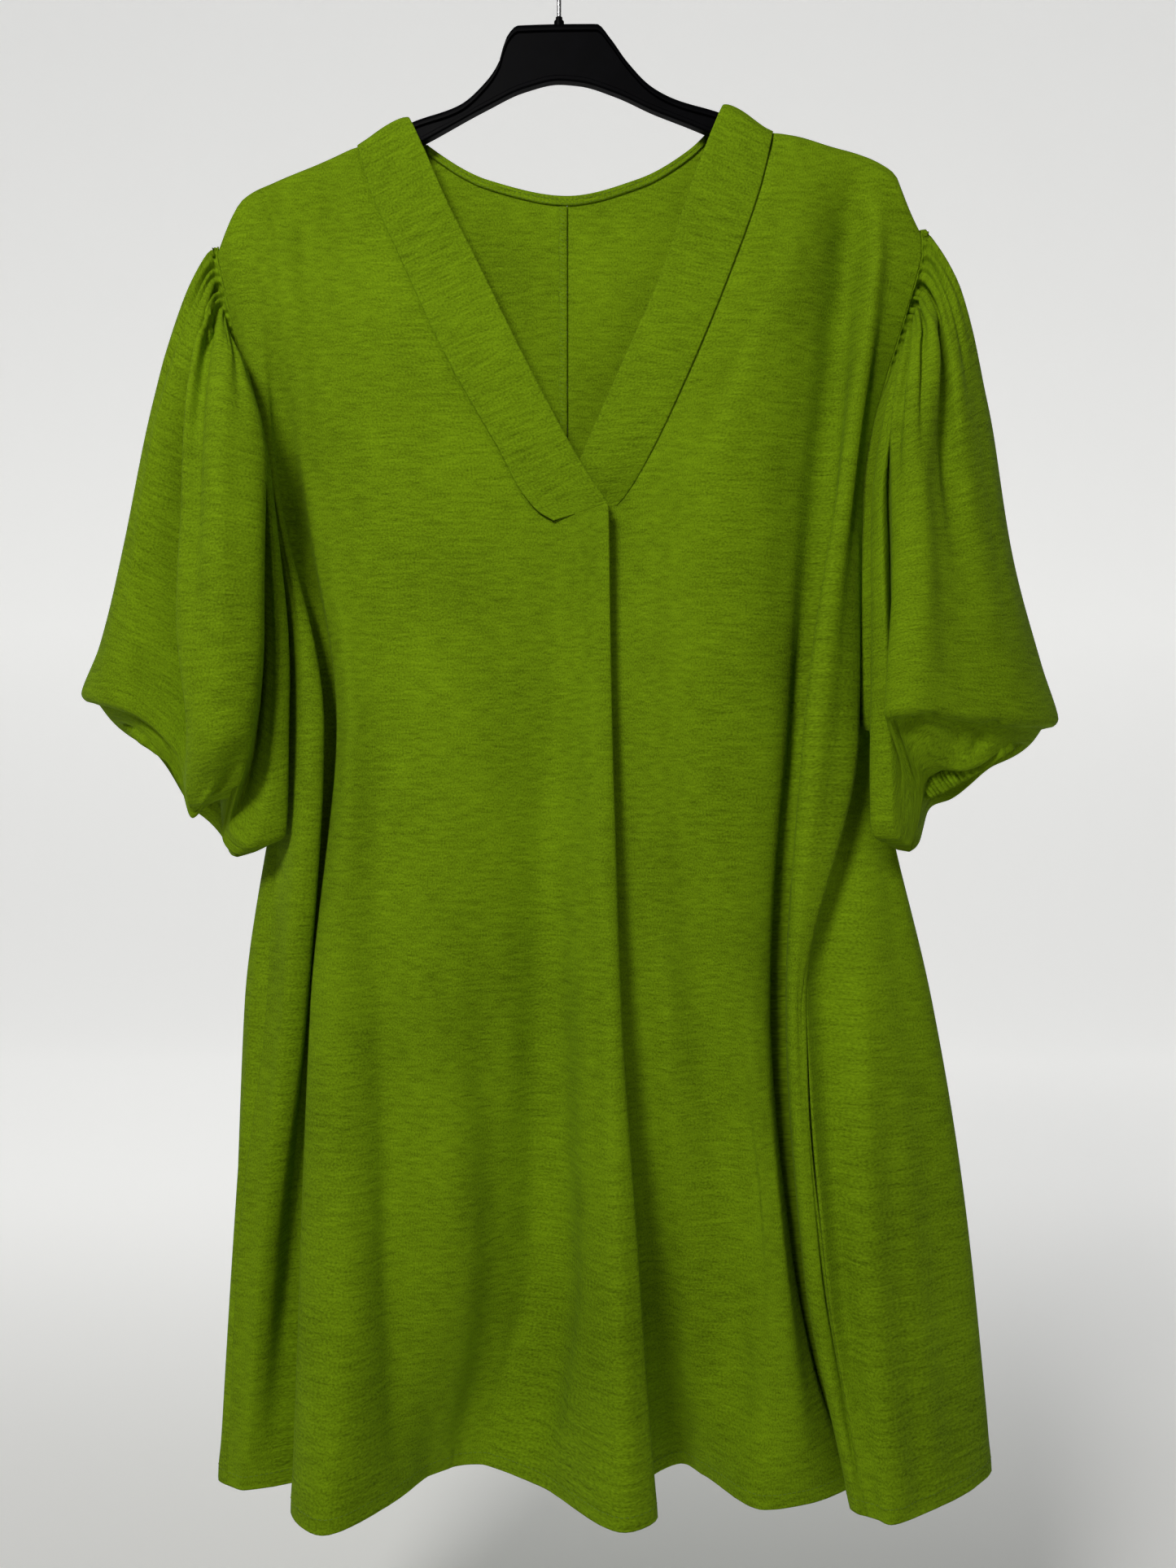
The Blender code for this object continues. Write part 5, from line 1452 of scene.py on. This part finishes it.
class BLOUSE_OT_sleeves(bpy.types.Operator):
    """Makes the two puff sleeves and their elastic cuffs."""

    bl_idname = "blouse.sleeves"
    bl_label = "Sleeves and cuffs"

    def execute(self, context):
        made = kit(context)
        wall = made.settings.wall
        around = np.linspace(0, 360, CUFF_COLUMNS, endpoint=False)
        for side, folds, cuff, creases, gathers, sign in SLEEVES:
            grid, turns = sleeve_grid(made.ring, side, folds, cuff)
            grid = press(grid, turns, SLEEVE_ROWS[:, None], creases, sign)
            grid = gather_head(grid, turns, gathers, sign)
            grid = hang_under(grid, turns, sign)
            piece = cloth(side + "_puff_sleeve", grid, made.cloth, wall)
            take(piece, "sleeve_" + side)
            rows = []
            for part in np.linspace(0, 1, CUFF_ROWS):
                inset = CUFF_INSET - CUFF_BULGE * math.sin(math.pi * part)
                line, inside = (
                    cuff_ring(cuff, around, CUFF_WIDTH * part, side, one)
                    for one in (inset, inset + MM))
                low, high = CUFF_SHIRR_SPAN
                wave = CUFF_SHIRR * np.cos(CUFF_SHIRRS * np.radians(around)) * math.sin(
                    math.pi * (low + (high - low) * part))
                rows.append(line + unit(line - inside) * wave[:, None])
            piece = cloth(side + "_elastic_cuff", np.array(rows), made.band, wall * CUFF_LAYERS,
                          closed=True)
            sewing = []
            for path in (rows[row] for row in CUFF_STITCH_ROWS):
                inward = -unit(path - path.mean(axis=0))
                sewing.append((path + inward * wall, inward))
            sewn = thread_piece(
                side + "_cuff_stitching", sewing, made.threads)
            take(piece, "cuff_" + side)
        return {"FINISHED"}


class BLOUSE_OT_back_seam(bpy.types.Operator):
    """Makes the overlocked seam allowance down the middle of the back."""

    bl_idname = "blouse.back_seam"
    bl_label = "Overlocked back seam"

    def execute(self, context):
        made = kit(context)
        half = made.settings.wall * BINDING_LAYERS / 2
        heights = np.arange(OVERLOCK_TOP, OVERLOCK_FOOT, -OVERLOCK_STEP)
        share = np.linspace(0, 1, OVERLOCK_COLUMNS)
        middle = made.ring.across[made.ring.names.index("centre back")][0]
        sway = OVERLOCK_SWAY * np.sin(heights * OVERLOCK_BENDS)
        across = middle - np.outer(OVERLOCK_WIDTH + sway, share)
        level = np.repeat(heights, len(share))
        grid = back_strip(made.ring, across.ravel(), level).reshape(*across.shape, 3)
        grid[:, :, 1] -= OVERLOCK_CLEAR + OVERLOCK_RISE * np.sin(math.pi * share)
        piece = cloth("back_seam_allowance", grid, made.cloth, 2 * half)
        inward = np.array([0.0, -1.0, 0.0])
        rows = []
        for line, after in zip(grid[:-1], grid[1:]):
            for near, far in ((line[1], line[-1]), (line[-1], after[1])):
                path = np.array([near, (near + far) / 2, far]) + inward * half
                rows.append((path, np.tile(inward, (3, 1)), OVERLOCK_STITCH, 0.0))
        sewn = thread_piece("overlock_stitching", rows, made.threads)
        take(piece, None)
        return {"FINISHED"}


class BLOUSE_OT_hanger(bpy.types.Operator):
    """Makes the plastic hanger and its wire hook."""

    bl_idname = "blouse.hanger"
    bl_label = "Hanger"

    def execute(self, context):
        settings = context.scene.blouse_hanger
        plastic = kept("hanger_plastic", moulded_plastic, tuple(settings.plastic),
                       settings.roughness)
        steel = kept("hook_steel", drawn_wire, tuple(settings.steel))
        take(hanger_form("hanger_arms", plastic), "hanger_body")
        take(hook_form("wire_hook", steel), "hanger_hook")
        return {"FINISHED"}


class BLOUSE_OT_stage(bpy.types.Operator):
    """Sets up the pale floor, the soft lights and the camera."""

    bl_idname = "blouse.stage"
    bl_label = "Floor, lights and camera"

    def execute(self, context):
        settings = context.scene.blouse_stage
        scene = context.scene
        height = CAD_BOX[0][2] - settings.drop
        line = [(-FLOOR_REACH, height)]
        for turn in np.linspace(0, math.pi / 2, SWEEP_STEPS):
            line.append((SWEEP_DEPTH + SWEEP_ROUND * math.sin(turn),
                         height + SWEEP_ROUND * (1 - math.cos(turn))))
        line.append((SWEEP_DEPTH + SWEEP_ROUND, height + SWEEP_HEIGHT))
        mesh = bpy.data.meshes.new("floor")
        mesh.from_pydata(
            [(side, out, up) for out, up in line for side in (-FLOOR_REACH, FLOOR_REACH)], [],
            grid_faces(len(line), 2))
        mesh.materials.append(
            kept("pale_floor", pale_floor, tuple(settings.backdrop), settings.glow))
        mesh.shade_smooth()
        floor = placed("floor", mesh)
        world = bpy.data.worlds.new("pale background")
        world.use_nodes = True
        backdrop = world.node_tree.nodes["Background"]
        backdrop.inputs["Color"].default_value = (*settings.backdrop, 1.0)
        faded(world, node(world, "ShaderNodeTexCoord"), "Generated", "Z", (backdrop, "Strength"),
              SKY_SPAN, (settings.daylight, settings.daylight * SKY_TOP))
        scene.world = world
        plain_light("key", KEY_PLACE, KEY_SIZE, settings.key, (1.0, 0.985, 0.96))
        plain_light("fill", FILL_PLACE, FILL_SIZE, settings.fill, (0.95, 0.98, 1.0))
        plain_light("back", BACK_PLACE, FILL_SIZE, settings.fill, (1.0, 1.0, 1.0))
        data = bpy.data.cameras.new("photo camera")
        data.sensor_fit = "VERTICAL"
        data.sensor_height = SENSOR
        data.lens = SENSOR / 2 * CAMERA_DISTANCE / CAMERA_HALF_VIEW
        data.clip_start = CAMERA_NEAR
        camera = placed("photo camera", data)
        camera.location = (CAMERA_ACROSS, -CAMERA_DISTANCE, CAMERA_HEIGHT)
        camera.rotation_euler = (math.radians(90), 0.0, 0.0)
        scene.camera = camera
        scene.view_settings.view_transform = "Standard"
        return {"FINISHED"}


OPERATORS = (
    BLOUSE_OT_body, BLOUSE_OT_neck, BLOUSE_OT_sleeves, BLOUSE_OT_back_seam, BLOUSE_OT_hanger,
    BLOUSE_OT_stage,
)


class BLOUSE_PT_sidebar(bpy.types.Panel):
    """The blouse's sizes, colours and pieces."""

    bl_idname = "BLOUSE_PT_sidebar"
    bl_label = "Puff-sleeve blouse"
    bl_space_type = "VIEW_3D"
    bl_region_type = "UI"
    bl_category = "Blouse"

    def draw(self, context):
        scene = context.scene
        for group in (scene.blouse_cloth, scene.blouse_hanger, scene.blouse_stage):
            box = self.layout.box()
            for name in group.__class__.__annotations__:
                box.prop(group, name)
        for operator in OPERATORS:
            self.layout.operator(operator.bl_idname)


GROUPS = {
    "blouse_cloth": BlouseClothSettings,
    "blouse_hanger": BlouseHangerSettings,
    "blouse_stage": BlouseStageSettings,
}


def register():
    for group in GROUPS.values():
        bpy.utils.register_class(group)
    for name, group in GROUPS.items():
        setattr(bpy.types.Scene, name, bpy.props.PointerProperty(type=group))
    for operator in OPERATORS:
        bpy.utils.register_class(operator)
    bpy.utils.register_class(BLOUSE_PT_sidebar)


def unregister():
    bpy.utils.unregister_class(BLOUSE_PT_sidebar)
    for operator in reversed(OPERATORS):
        bpy.utils.unregister_class(operator)
    for name in GROUPS:
        delattr(bpy.types.Scene, name)
    for group in reversed(list(GROUPS.values())):
        bpy.utils.unregister_class(group)


def main():
    register()
    bpy.ops.blouse.body()
    bpy.ops.blouse.neck()
    bpy.ops.blouse.sleeves()
    bpy.ops.blouse.back_seam()
    bpy.ops.blouse.hanger()
    bpy.ops.blouse.stage()


if __name__ == "__main__":
    main()
